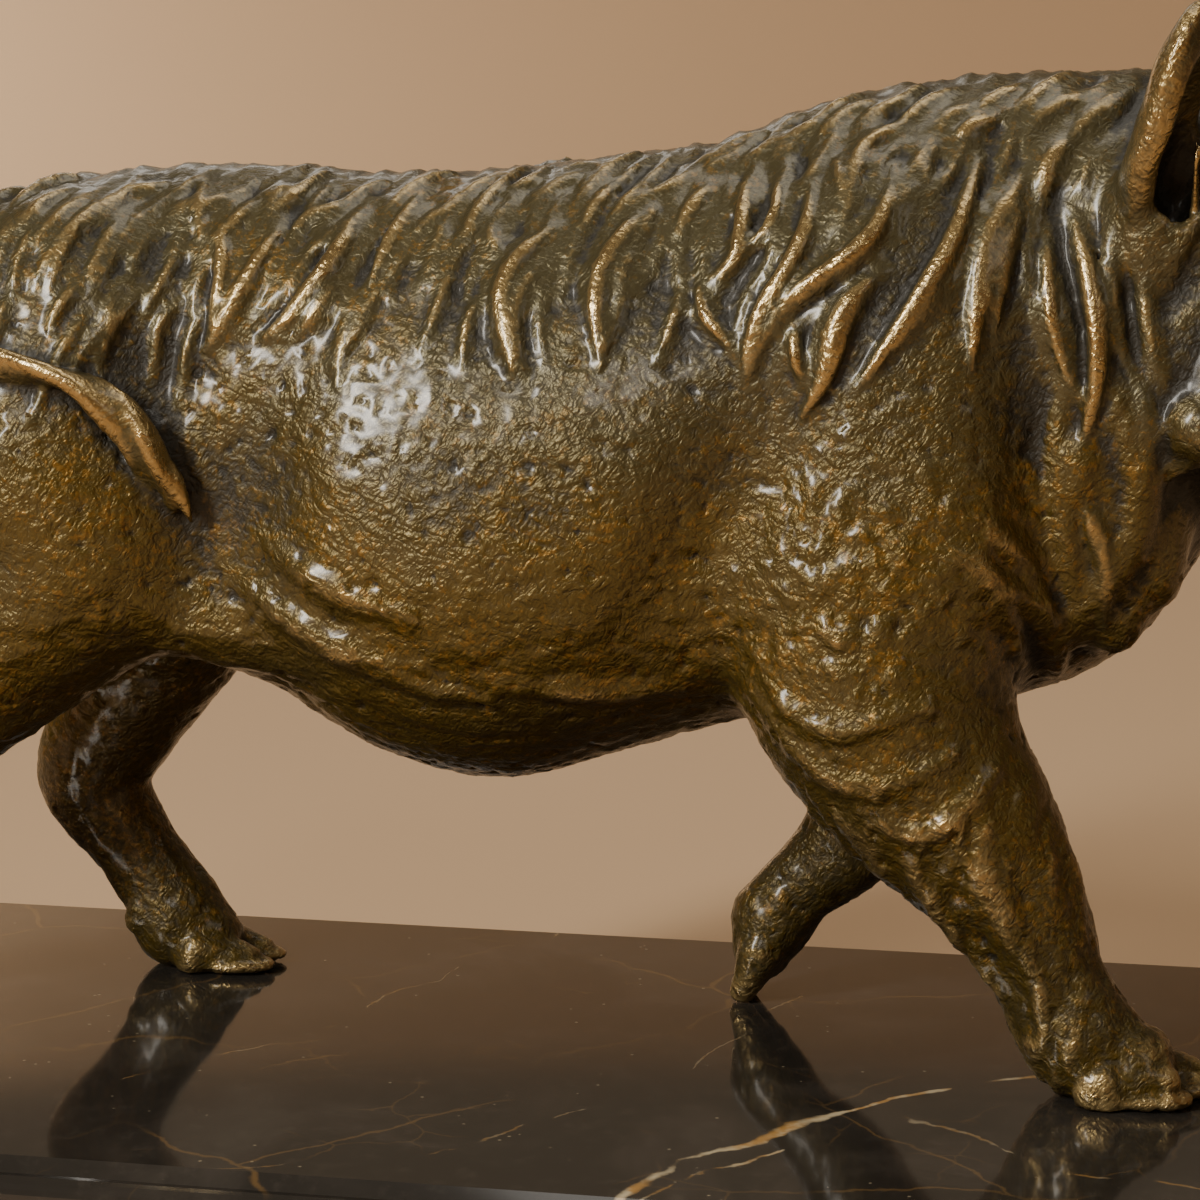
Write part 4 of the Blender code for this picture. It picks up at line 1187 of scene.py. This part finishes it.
@dataclass
class Warthog:
    """The cast animal, in figure units."""

    coarse: float = 1.24
    triangles: int = 190_000
    seat_gap: float = 0.3
    trunk: tuple = (
        (-98, 105.0, 68.0, 14.0),
        (-86, 110.5, 58.0, 20.5),
        (-70, 113.3, 50.6, 22.5),
        (-54, 113.2, 43.6, 25.0),
        (-40, 112.6, 36.4, 28.3),
        (-26, 113.2, 33.6, 30.0),
        (-10, 115.0, 37.6, 29.6),
        (6, 117.0, 42.6, 27.6),
        (20, 120.4, 44.4, 25.6),
        (34, 122.6, 46.0, 24.4),
        (46, 124.2, 51.0, 22.0),
        (58, 125.0, 59.0, 19.0),
        (68, 119.0, 71.0, 15.0),
    )
    trunk_taper: float = 0.16
    masses: dict[str, Mass] = field(default_factory=lambda: {
        "rump": Mass((-90, 0, 84), (21, 19, 24), 12, 8),
        "hip": Mass((-84, 11, 88), (20, 11, 19), 20, 8),
        "near_haunch": Mass((-85, 13, 74), (22, 13, 27), 18, 7, NEAR_ONLY),
        "far_haunch": Mass((-80, 13, 73), (20, 13, 27), -8, 7, FAR_ONLY),
        "near_shoulder": Mass((29, 16, 68), (18, 12, 26), 16, 6, NEAR_ONLY),
        "far_shoulder": Mass((22, 16, 70), (17, 11, 26), -6, 6, FAR_ONLY),
        "shoulder_blade": Mass((22, 13, 92), (17, 11, 22), 22, 9),
        "near_elbow": Mass((23, 17, 48), (13, 10, 10), 30, 6, NEAR_ONLY),
        "brisket": Mass((38, 0, 62), (15, 15, 14), 20, 7),
        "throat": Mass((50, 0, 74), (12, 12, 17), -20, 6),
        "breast": Mass((47, 0, 63.5), (11, 14, 12), 0, 6),
        "jowl": Mass((52.5, 12, 68), (6, 5, 14), -10, 3.0),
        "dewlap": Mass((58, 11.5, 73), (4.6, 5, 13), -8, 2.6),
        "withers": Mass((32, 0, 109), (30, 12, 14.5), -6, 7),
        "near_flank_fold": Mass((-64, 16, 57), (14, 7, 6), 14, 6, NEAR_ONLY),
        "far_flank_fold": Mass((-58, 15, 56), (14, 7, 6), 14, 6, FAR_ONLY),
    })
    hollows: dict[str, Mass] = field(default_factory=lambda: {
        "flank": Mass((-57, 33, 72), (8, 9, 24), 14, 10),
        "behind_shoulder": Mass((6, 35, 68), (5, 9, 22), 24, 9),
        "before_shoulder": Mass((46, 28, 74), (4, 8, 20), -6, 7),
        "under_haunch": Mass((-66, 30, 88), (6, 7, 12), 30, 8),
    })
    limbs: dict[str, Limb] = field(default_factory=lambda: {
        "near_fore": Limb(
            (((24, -16, 62), 15.0), ((26.5, -17, 48), 15.2), ((32, -17.5, 39), 13.2), ((39, -18, 30), 10.4),
             ((44, -18.5, 22.4), 8.0), ((47.4, -19, 15), 6.5), ((50.5, -19, 9.5), 6.8)),
            (52, -19, 6.0), (66.5, -19.5, 1.6), 4.2, 0.34),
        "far_fore": Limb(
            (((24, 16, 60), 14.0), ((26, 16, 42), 11.0), ((22, 15.5, 31), 8.0), ((18.5, 15, 23), 6.8),
             ((12, 15, 16.6), 5.4), ((7.4, 15, 11.6), 5.0)),
            (8.2, 15, 11.0), (4.2, 15, 1.6), 3.4, 0.0),
        "near_hind": Limb(
            (((-84, -14, 74), 19.0), ((-80, -15, 64), 16.0), ((-97, -15.5, 46), 11.5),
             ((-112, -16, 32), 8.4), ((-117, -16, 20), 6.4), ((-120, -16, 9.5), 6.5)),
            (-119, -16, 6.0), (-107, -16, 1.6), 4.0, 0.0),
        "far_hind": Limb(
            (((-82, 14, 72), 16.0), ((-76, 15, 54), 12.0), ((-84, 15.5, 39), 9.6), ((-90, 16, 27.5), 7.8),
             ((-84, 16, 17), 6.0), ((-78.0, 16, 8.5), 6.4)),
            (-78, 16, 5.5), (-66.5, 16.5, 1.6), 4.0, 0.0),
    })
    tail: tuple[Stop, ...] = (
        ((-99, 0, 99), 3.8), ((-107, -4, 99), 2.4), ((-107.5, -13, 96.5), 1.9), ((-101, -21.5, 92.8), 1.7),
        ((-92, -26, 90.4), 1.7), ((-82, -27.8, 88.6), 1.8), ((-74, -27.4, 86.6), 2.2),
        ((-68.5, -26.4, 82), 2.8), ((-64.6, -25, 76), 2.6), ((-63.0, -23.6, 71.0), 1.1),
    )
    head: Head = field(default_factory=Head)
    mane: Mane = field(default_factory=Mane)
    fold_sink: float = 0.36
    fold_seam: float = 1.4
    tail_core: float = 0.62
    tail_seam: float = 0.3
    lock_seam: float = 0.35
    hair_seam: float = 0.4
    wisp_seam: float = 0.5
    shift: np.ndarray = field(default_factory=lambda: np.zeros(3))

    def build(self) -> bpy.types.Object:
        """Models the animal and places it over its CAD solid."""
        material = BronzePatina().build()
        clay = self._body().finer()
        clay.field = box_blur(clay.field, 1)
        hair = self._press_hair(clay, material)
        self.head.press(clay)
        wisps = StrandSweep(strands=2).sweep(list(self.head.strands(random.Random(9))), material)
        hair = np.minimum(hair, clay.press_mesh(wisps, self.wisp_seam))
        for limb in self.limbs.values():
            limb.press_hoof(clay)
        clay.flatten_below(self.seat_gap)
        log.info("clay pressed")
        mesh = self._skin(clay, hair)
        mesh.materials.append(material)
        made = add_object("warthog_bronze", mesh)
        self._thin(made)
        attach(made, "root")
        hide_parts("warthog")
        return made

    def _body(self) -> Clay:
        """The trunk, its masses, and the legs, at the coarse step."""
        clay = Clay((-134, -42, -2), (134, 42, 142), self.coarse)
        clay.press_on(self._trunk_shape(), 1.0)
        for masses, work in ((self.masses, clay.press_on), (self.hollows, clay.cut_out)):
            for mass in masses.values():
                for shape in mass.shapes():
                    work(shape, mass.seam)
        for limb in self.limbs.values():
            limb.press(clay)
        return clay

    def _trunk_shape(self) -> Shape:
        """The barrel of the body, lofted through its stations."""
        stations = np.array(self.trunk, float)
        places = stations[:, 0]

        def curve(x: np.ndarray, column: int) -> np.ndarray:
            """A smooth curve through one column of the stations."""
            values = stations[:, column]
            slopes = np.gradient(values, places)
            x = np.clip(x, places[0], places[-1])
            i = np.clip(np.searchsorted(places, x, side="right") - 1, 0, len(places) - 2)
            gap = places[i + 1] - places[i]
            t = (x - places[i]) / gap
            rise = values[i] * (1 + 2 * t) * (1 - t) ** 2 + values[i + 1] * t * t * (3 - 2 * t)
            return rise + gap * (slopes[i] * t * (1 - t) ** 2 - slopes[i + 1] * t * t * (1 - t))

        def distance(x: np.ndarray, y: np.ndarray, z: np.ndarray) -> np.ndarray:
            """Distance to the barrel, negative inside."""
            top, under, half = (curve(x, column) for column in (1, 2, 3))
            middle, tall = (top + under) / 2, (top - under) / 2
            up = (z - middle) / tall
            wide = half * (1 - self.trunk_taper * np.clip(up, -1, 1))
            near = ((y / wide) ** 2 + up**2) ** 0.5
            slope = ((y / wide**2) ** 2 + (up / tall) ** 2) ** 0.5
            across = near * (near - 1) / np.maximum(slope, 1e-6)
            beyond = np.maximum(places[0] - x, x - places[-1])
            outside = np.hypot(np.maximum(across, 0), np.maximum(beyond, 0))
            ends = np.where(across > 0, outside, np.maximum(beyond, across))
            return np.where(beyond > 0, ends, across)

        widest = stations[:, 3].max() * (1 + self.trunk_taper)
        low = (places[0], -widest, stations[:, 2].min())
        high = (places[-1], widest, stations[:, 1].max())
        return distance, np.array(low), np.array(high)

    def _press_hair(self, clay: Clay, material: bpy.types.Material) -> np.ndarray:
        """Lays the locks, the fine hair, the folds and the tail, and gives the distance to the hair."""
        broad, fine = [], []
        for side in Side:
            flank = Flank(clay, side)
            for paths, more in zip((broad, fine), self.mane.strands(flank)):
                paths.extend(more)
            for lock, sides in self.mane.folds:
                if side.value in sides:
                    clay.press_on(chain(flank.strand(lock, self.fold_sink), 3), self.fold_seam)
        clay.press_on(chain([(point, radius * self.tail_core) for point, radius in self.tail], 5), 1.0)
        twisted = StrandSweep(spread=0.62, turns=1.3, share=0.52).sweep(list(self._tail_strands()), material)
        tail = clay.press_mesh(twisted, self.tail_seam)
        locks = clay.press_mesh(StrandSweep().sweep(broad, material), self.lock_seam)
        log.info("%d broad locks and %d fine strands", len(broad), len(fine))
        single = StrandSweep(strands=1, spread=0.0, share=1.0).sweep(fine, material)
        return np.minimum(np.minimum(tail, locks), clay.press_mesh(single, self.hair_seam))

    def _tail_strands(self) -> Iterator[list[Stop]]:
        """The tail's hair, and the two wisps that part from its tuft."""
        yield [(point, radius * 1.15) for point, radius in self.tail[2:]]
        for away, drop in ((-3.4, 1.4), (2.4, -2.0)):
            yield [((x + away * i / 4, y - 0.3, z + drop * i / 4), radius * 0.7)
                   for i, ((x, y, z), radius) in enumerate(self.tail[5:])]

    def _skin(self, clay: Clay, hair: np.ndarray) -> bpy.types.Mesh:
        """The surface with the relief of the hide, in metres, in its place on the plinth."""
        points, polygons = clay.skin()
        mesh = bpy.data.meshes.new("warthog_bronze")
        mesh.from_pydata(points.tolist(), [], polygons)
        strand = np.clip(1 - clay.read(hair, points) / 0.9, 0, 1)
        relief = Hide(self.head).relief(points, strand)
        shape = np.clip(clay.field, -3.0, 3.0)
        near, wide = box_blur(shape, 2), box_blur(shape, 6)
        proud = clay.read(near, points) * 1.5 + clay.read(wide, points) * 0.45 + relief * 0.9
        normals = np.empty(len(points) * 3, np.float32)
        mesh.vertices.foreach_get("normal", normals)
        moved = points + normals.reshape(-1, 3) * relief[:, None]
        moved[:, 2] = np.maximum(moved[:, 2], self.seat_gap)
        self.shift = self._shift(moved * UNIT)
        moved = moved * UNIT + self.shift
        mesh.vertices.foreach_set("co", moved.astype(np.float32).ravel())
        marks = {"ridge": np.clip(proud, 0, 1.5), "hollow": np.clip(-proud, 0, 1.5), "hair": strand}
        for name, values in marks.items():
            mesh.attributes.new(name, "FLOAT", "POINT").data.foreach_set("value", values.astype(np.float32))
        mesh.update()
        return mesh

    @staticmethod
    def _shift(points: np.ndarray) -> np.ndarray:
        """What moves the points over the CAD solid, rear end to rear end."""
        low, high = (np.array(corner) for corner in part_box("warthog"))
        middle = (low + high) / 2 - (points.min(0) + points.max(0)) / 2
        return np.array((low[0] - points[:, 0].min(), middle[1], low[2] - points[:, 2].min()))

    def _thin(self, made: bpy.types.Object) -> None:
        """Drops loose specks, turns all faces outwards and thins the piece to its number of triangles."""
        form = bmesh.new()
        form.from_mesh(made.data)
        drop_crumbs(form)
        bmesh.ops.recalc_face_normals(form, faces=form.faces)
        count = sum(len(face.verts) - 2 for face in form.faces)
        form.to_mesh(made.data)
        form.free()
        thin = made.modifiers.new("thin", "DECIMATE")
        thin.ratio = min(1.0, self.triangles / count)
        mesh = modified_mesh(made)
        made.modifiers.remove(thin)
        made.data = mesh
        mesh.shade_smooth()
        log.info("%s: %d of %d triangles", made.name, len(mesh.polygons), count)


def drop_crumbs(form: bmesh.types.BMesh) -> None:
    """Removes any loose speck, and any bubble inside, beside the one largest body."""
    unseen, bodies = set(form.verts), []
    while unseen:
        body, edge = set(), [unseen.pop()]
        while edge:
            corner = edge.pop()
            body.add(corner)
            found = {side.other_vert(corner) for side in corner.link_edges} & unseen
            unseen -= found
            edge.extend(found)
        bodies.append(body)
    largest = max(bodies, key=len)
    for body in bodies:
        if body is not largest:
            bmesh.ops.delete(form, geom=list(body), context="VERTS")


def box_blur(block: np.ndarray, reach: int) -> np.ndarray:
    """The mean of each cell's neighbours within reach along all three axes."""
    for axis in range(3):
        pad = [(0, 0)] * 3
        pad[axis] = (reach + 1, reach)
        sums = np.cumsum(np.pad(block, pad, mode="edge"), axis=axis, dtype=np.float64)
        upper = np.take(sums, range(2 * reach + 1, sums.shape[axis]), axis)
        lower = np.take(sums, range(0, sums.shape[axis] - 2 * reach - 1), axis)
        block = ((upper - lower) / (2 * reach + 1)).astype(np.float32)
    return block


@dataclass
class Hide:
    """The fine relief of the skin."""

    head: Head

    def relief(self, points: np.ndarray, strand: np.ndarray) -> np.ndarray:
        """How far each point stands out from the smooth clay.

        Args:
            points: the surface.
            strand: how much each point lies on a strand, 0 to 1.

        Returns:
            The height at each point, in figure units.
        """
        x, y, z = points.T
        mane = self._mane(x, z)
        bare = (1 - strand) * (1 - self._smooth(points))
        combed = np.stack((x + 0.4 * (115 - z), y * 0.3, (z - 0.3 * x) * 0.2), 1)
        swells = Noise(3).at(combed / 2.6) * 0.8 + Noise(4).at(combed / 1.2) * 0.45
        crumple = (Noise(6).folds(points / 2.1, 2) - 0.5) * 0.3 * np.clip((z - 20) / 20, 0.4, 1)
        lumps = Noise(7).at(points / 8) * 0.22 + Noise(8).at(points / 17) * 0.55
        pits = np.clip(Noise(9).at(points / 1.5) - 0.27, 0, 0.2) * -2.6
        hide = self._folds(points) + crumple + pits
        grooves = Noise(6).at(combed / 0.9) * 0.16
        return (lumps + swells * mane + hide * (1 - 0.8 * mane)) * bare + strand * grooves

    @staticmethod
    def _folds(points: np.ndarray) -> np.ndarray:
        """The folds of the belly, the legs, the throat and the shoulder."""
        x, y, z = points.T
        leg = np.clip((46 - z) / 12, 0, 1) * np.where((x > 18) & (y < 0), 1.0, 0.35)
        belly = np.clip((70 - z) / 14, 0, 1) * np.clip((20 - x) / 15, 0, 1) * np.clip((z - 34) / 8, 0, 1)
        shoulder = np.exp(-(((x - 24) / 17) ** 2) - ((z - 66) / 17) ** 2)
        throat = np.exp(-(((x - 44) / 7) ** 2) - ((z - 70) / 16) ** 2)
        along = points * (0.45, 1.0, 1.1) + np.stack((0.15 * z, 0 * z, 0 * z), 1)
        down = points * (1.2, 1.0, 0.4)
        slanted = np.stack((x * 0.9 + z * 0.5, y, (z - x) * 0.2), 1)
        low = Noise(5).folds(along / 4.2, 2) * belly * 0.62 + Noise(11).folds(down / 4.6, 3) * leg * 0.95
        front = Noise(12).folds(slanted / 2.6, 2) * throat * 0.6
        front += Noise(13).folds(points / 3.4, 2) * shoulder * 1.2
        return low + front

    @staticmethod
    def _mane(x: np.ndarray, z: np.ndarray) -> np.ndarray:
        """How far a place lies within the mane, 0 to 1."""
        edge = np.interp(x, (-90, -70, -50, -20, 10, 40, 48, 60), (106, 103, 95, 97, 93, 90, 72, 66))
        return np.clip((z - edge) / 7, 0, 1)

    def _smooth(self, points: np.ndarray) -> np.ndarray:
        """How smooth a place is: the tusks and the eyes are, 0 to 1."""
        gap = np.full(len(points), EMPTY)
        for side in BOTH:
            for stops in (self.head.upper_tusk, self.head.lower_tusk):
                gap = np.minimum(gap, self.head.rod(stops, side)[0](*points.T))
        eyes = [self.head.place(place) for place in self.head.masses["eye"].places()]
        for eye in eyes:
            gap = np.minimum(gap, np.linalg.norm(points - eye, axis=1) - 2.6)
        return np.clip(1 - gap / 0.8, 0, 1)


# The plinth and the studio


@dataclass
class Plinth:
    """The marble block, whose solid stays as it is and gets its stone."""

    node: str = "plinth"

    def dress(self) -> bpy.types.Object:
        """Gives the solid its marble."""
        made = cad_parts[self.node]
        marble = PolishedMarble().build()
        made.data.materials.clear()
        made.data.materials.append(marble)
        return made


@dataclass(frozen=True)
class Lamp:
    """A soft light: its place, its two lengths, its power in watts, and what it faces."""

    name: str
    place: Point
    size: tuple[float, float]
    power: float
    target: Point = (0, 0.01, 0.08)

    def hang(self, colour: Point) -> None:
        """Hangs the light."""
        light = bpy.data.lights.new(self.name, "AREA")
        light.shape = "RECTANGLE"
        light.size, light.size_y = self.size
        light.energy = self.power
        light.color = colour
        holder = add_object(self.name, light)
        holder.location = self.place
        away = Vector(self.target) - Vector(self.place)
        holder.rotation_euler = away.to_track_quat("-Z", "Y").to_euler()


@dataclass
class Studio:
    """The pale floor, the soft lights and the camera at the photograph's angle."""

    figure: np.ndarray
    lens: float = 96.0
    turn: float = 11.71
    pitch: float = 9.05
    eye: Point = (0.071, -0.4056, 0.123)
    floor_radius: float = 2.5
    floor_sides: int = 64
    wall_height: float = 0.8
    rims: tuple = ((0.5, 0), (0.8, 0), (0.9, 0.05), (0.96, 0.3), (1.0, 1.0))
    sky: Point = (0.19, 0.138, 0.088)
    light_colour: Point = (1.0, 0.95, 0.87)
    lamps: tuple[Lamp, ...] = (
        Lamp("key", (-0.60, -0.78, 0.58), (0.13, 0.42), 12.0),
        Lamp("front", (-0.08, -0.92, 0.68), (0.12, 0.22), 0.9),
        Lamp("top", (0.05, 0.10, 0.95), (0.8, 0.4), 2.6),
        Lamp("fill", (0.80, -0.70, 0.70), (0.2, 0.4), 0.5),
        Lamp("wall", (-1.35, 1.85, 0.6), (0.3, 0.4), 6.0, (-1.0, 2.3, 0.2)),
        Lamp("floor", (-0.6, 1.2, 0.8), (0.8, 0.5), 5.5, (-0.5, 1.5, 0.0)),
    )

    def build(self) -> None:
        """Sets the whole studio up."""
        self._place_camera()
        self._lay_floor()
        for lamp in self.lamps:
            lamp.hang(self.light_colour)
        world = bpy.data.worlds.new("studio_air")
        world.use_nodes = True
        air = world.node_tree.nodes["Background"]
        air.inputs["Color"].default_value = (*self.sky, 1)
        air.inputs["Strength"].default_value = 1.0
        bpy.context.scene.world = world

    def _place_camera(self) -> None:
        """Stands the camera where the photograph was taken from."""
        camera = add_object("camera", bpy.data.cameras.new("camera"))
        camera.data.lens = self.lens
        camera.data.sensor_width = 36.0
        camera.data.clip_start = 0.01
        turn, pitch = math.radians(self.turn), math.radians(self.pitch)
        ahead = (-math.sin(turn) * math.cos(pitch), math.cos(turn) * math.cos(pitch), -math.sin(pitch))
        camera.location = self.figure + np.array(self.eye)
        camera.rotation_euler = Vector(ahead).to_track_quat("-Z", "Y").to_euler()
        bpy.context.scene.camera = camera

    def _lay_floor(self) -> None:
        """Lays a round floor that curves up at its edge."""
        form = bmesh.new()
        angles = np.linspace(0, math.tau, self.floor_sides, endpoint=False)
        rings = []
        for share, height in self.rims:
            reach, rise = self.floor_radius * share, self.wall_height * height
            spots = [(reach * math.cos(angle), reach * math.sin(angle), rise) for angle in angles]
            rings.append([form.verts.new(spot) for spot in spots])
        form.faces.new(rings[0])
        for inner, outer in zip(rings, rings[1:]):
            for i in range(self.floor_sides):
                after = (i + 1) % self.floor_sides
                form.faces.new((inner[i], outer[i], outer[after], inner[after]))
        mesh = bpy.data.meshes.new("studio_floor")
        form.to_mesh(mesh)
        form.free()
        mesh.shade_smooth()
        mesh.materials.append(PaleFloor().build())
        add_object("studio_floor", mesh)


def main() -> None:
    """Builds each piece in order and reports it."""
    logging.basicConfig(level=logging.INFO, format="%(message)s")
    plinth = Plinth().dress()
    log.info("%s dressed", plinth.name)
    warthog = Warthog()
    figure = warthog.build()
    log.info("%s built", figure.name)
    Studio(warthog.shift).build()


if __name__ == "__main__":
    main()
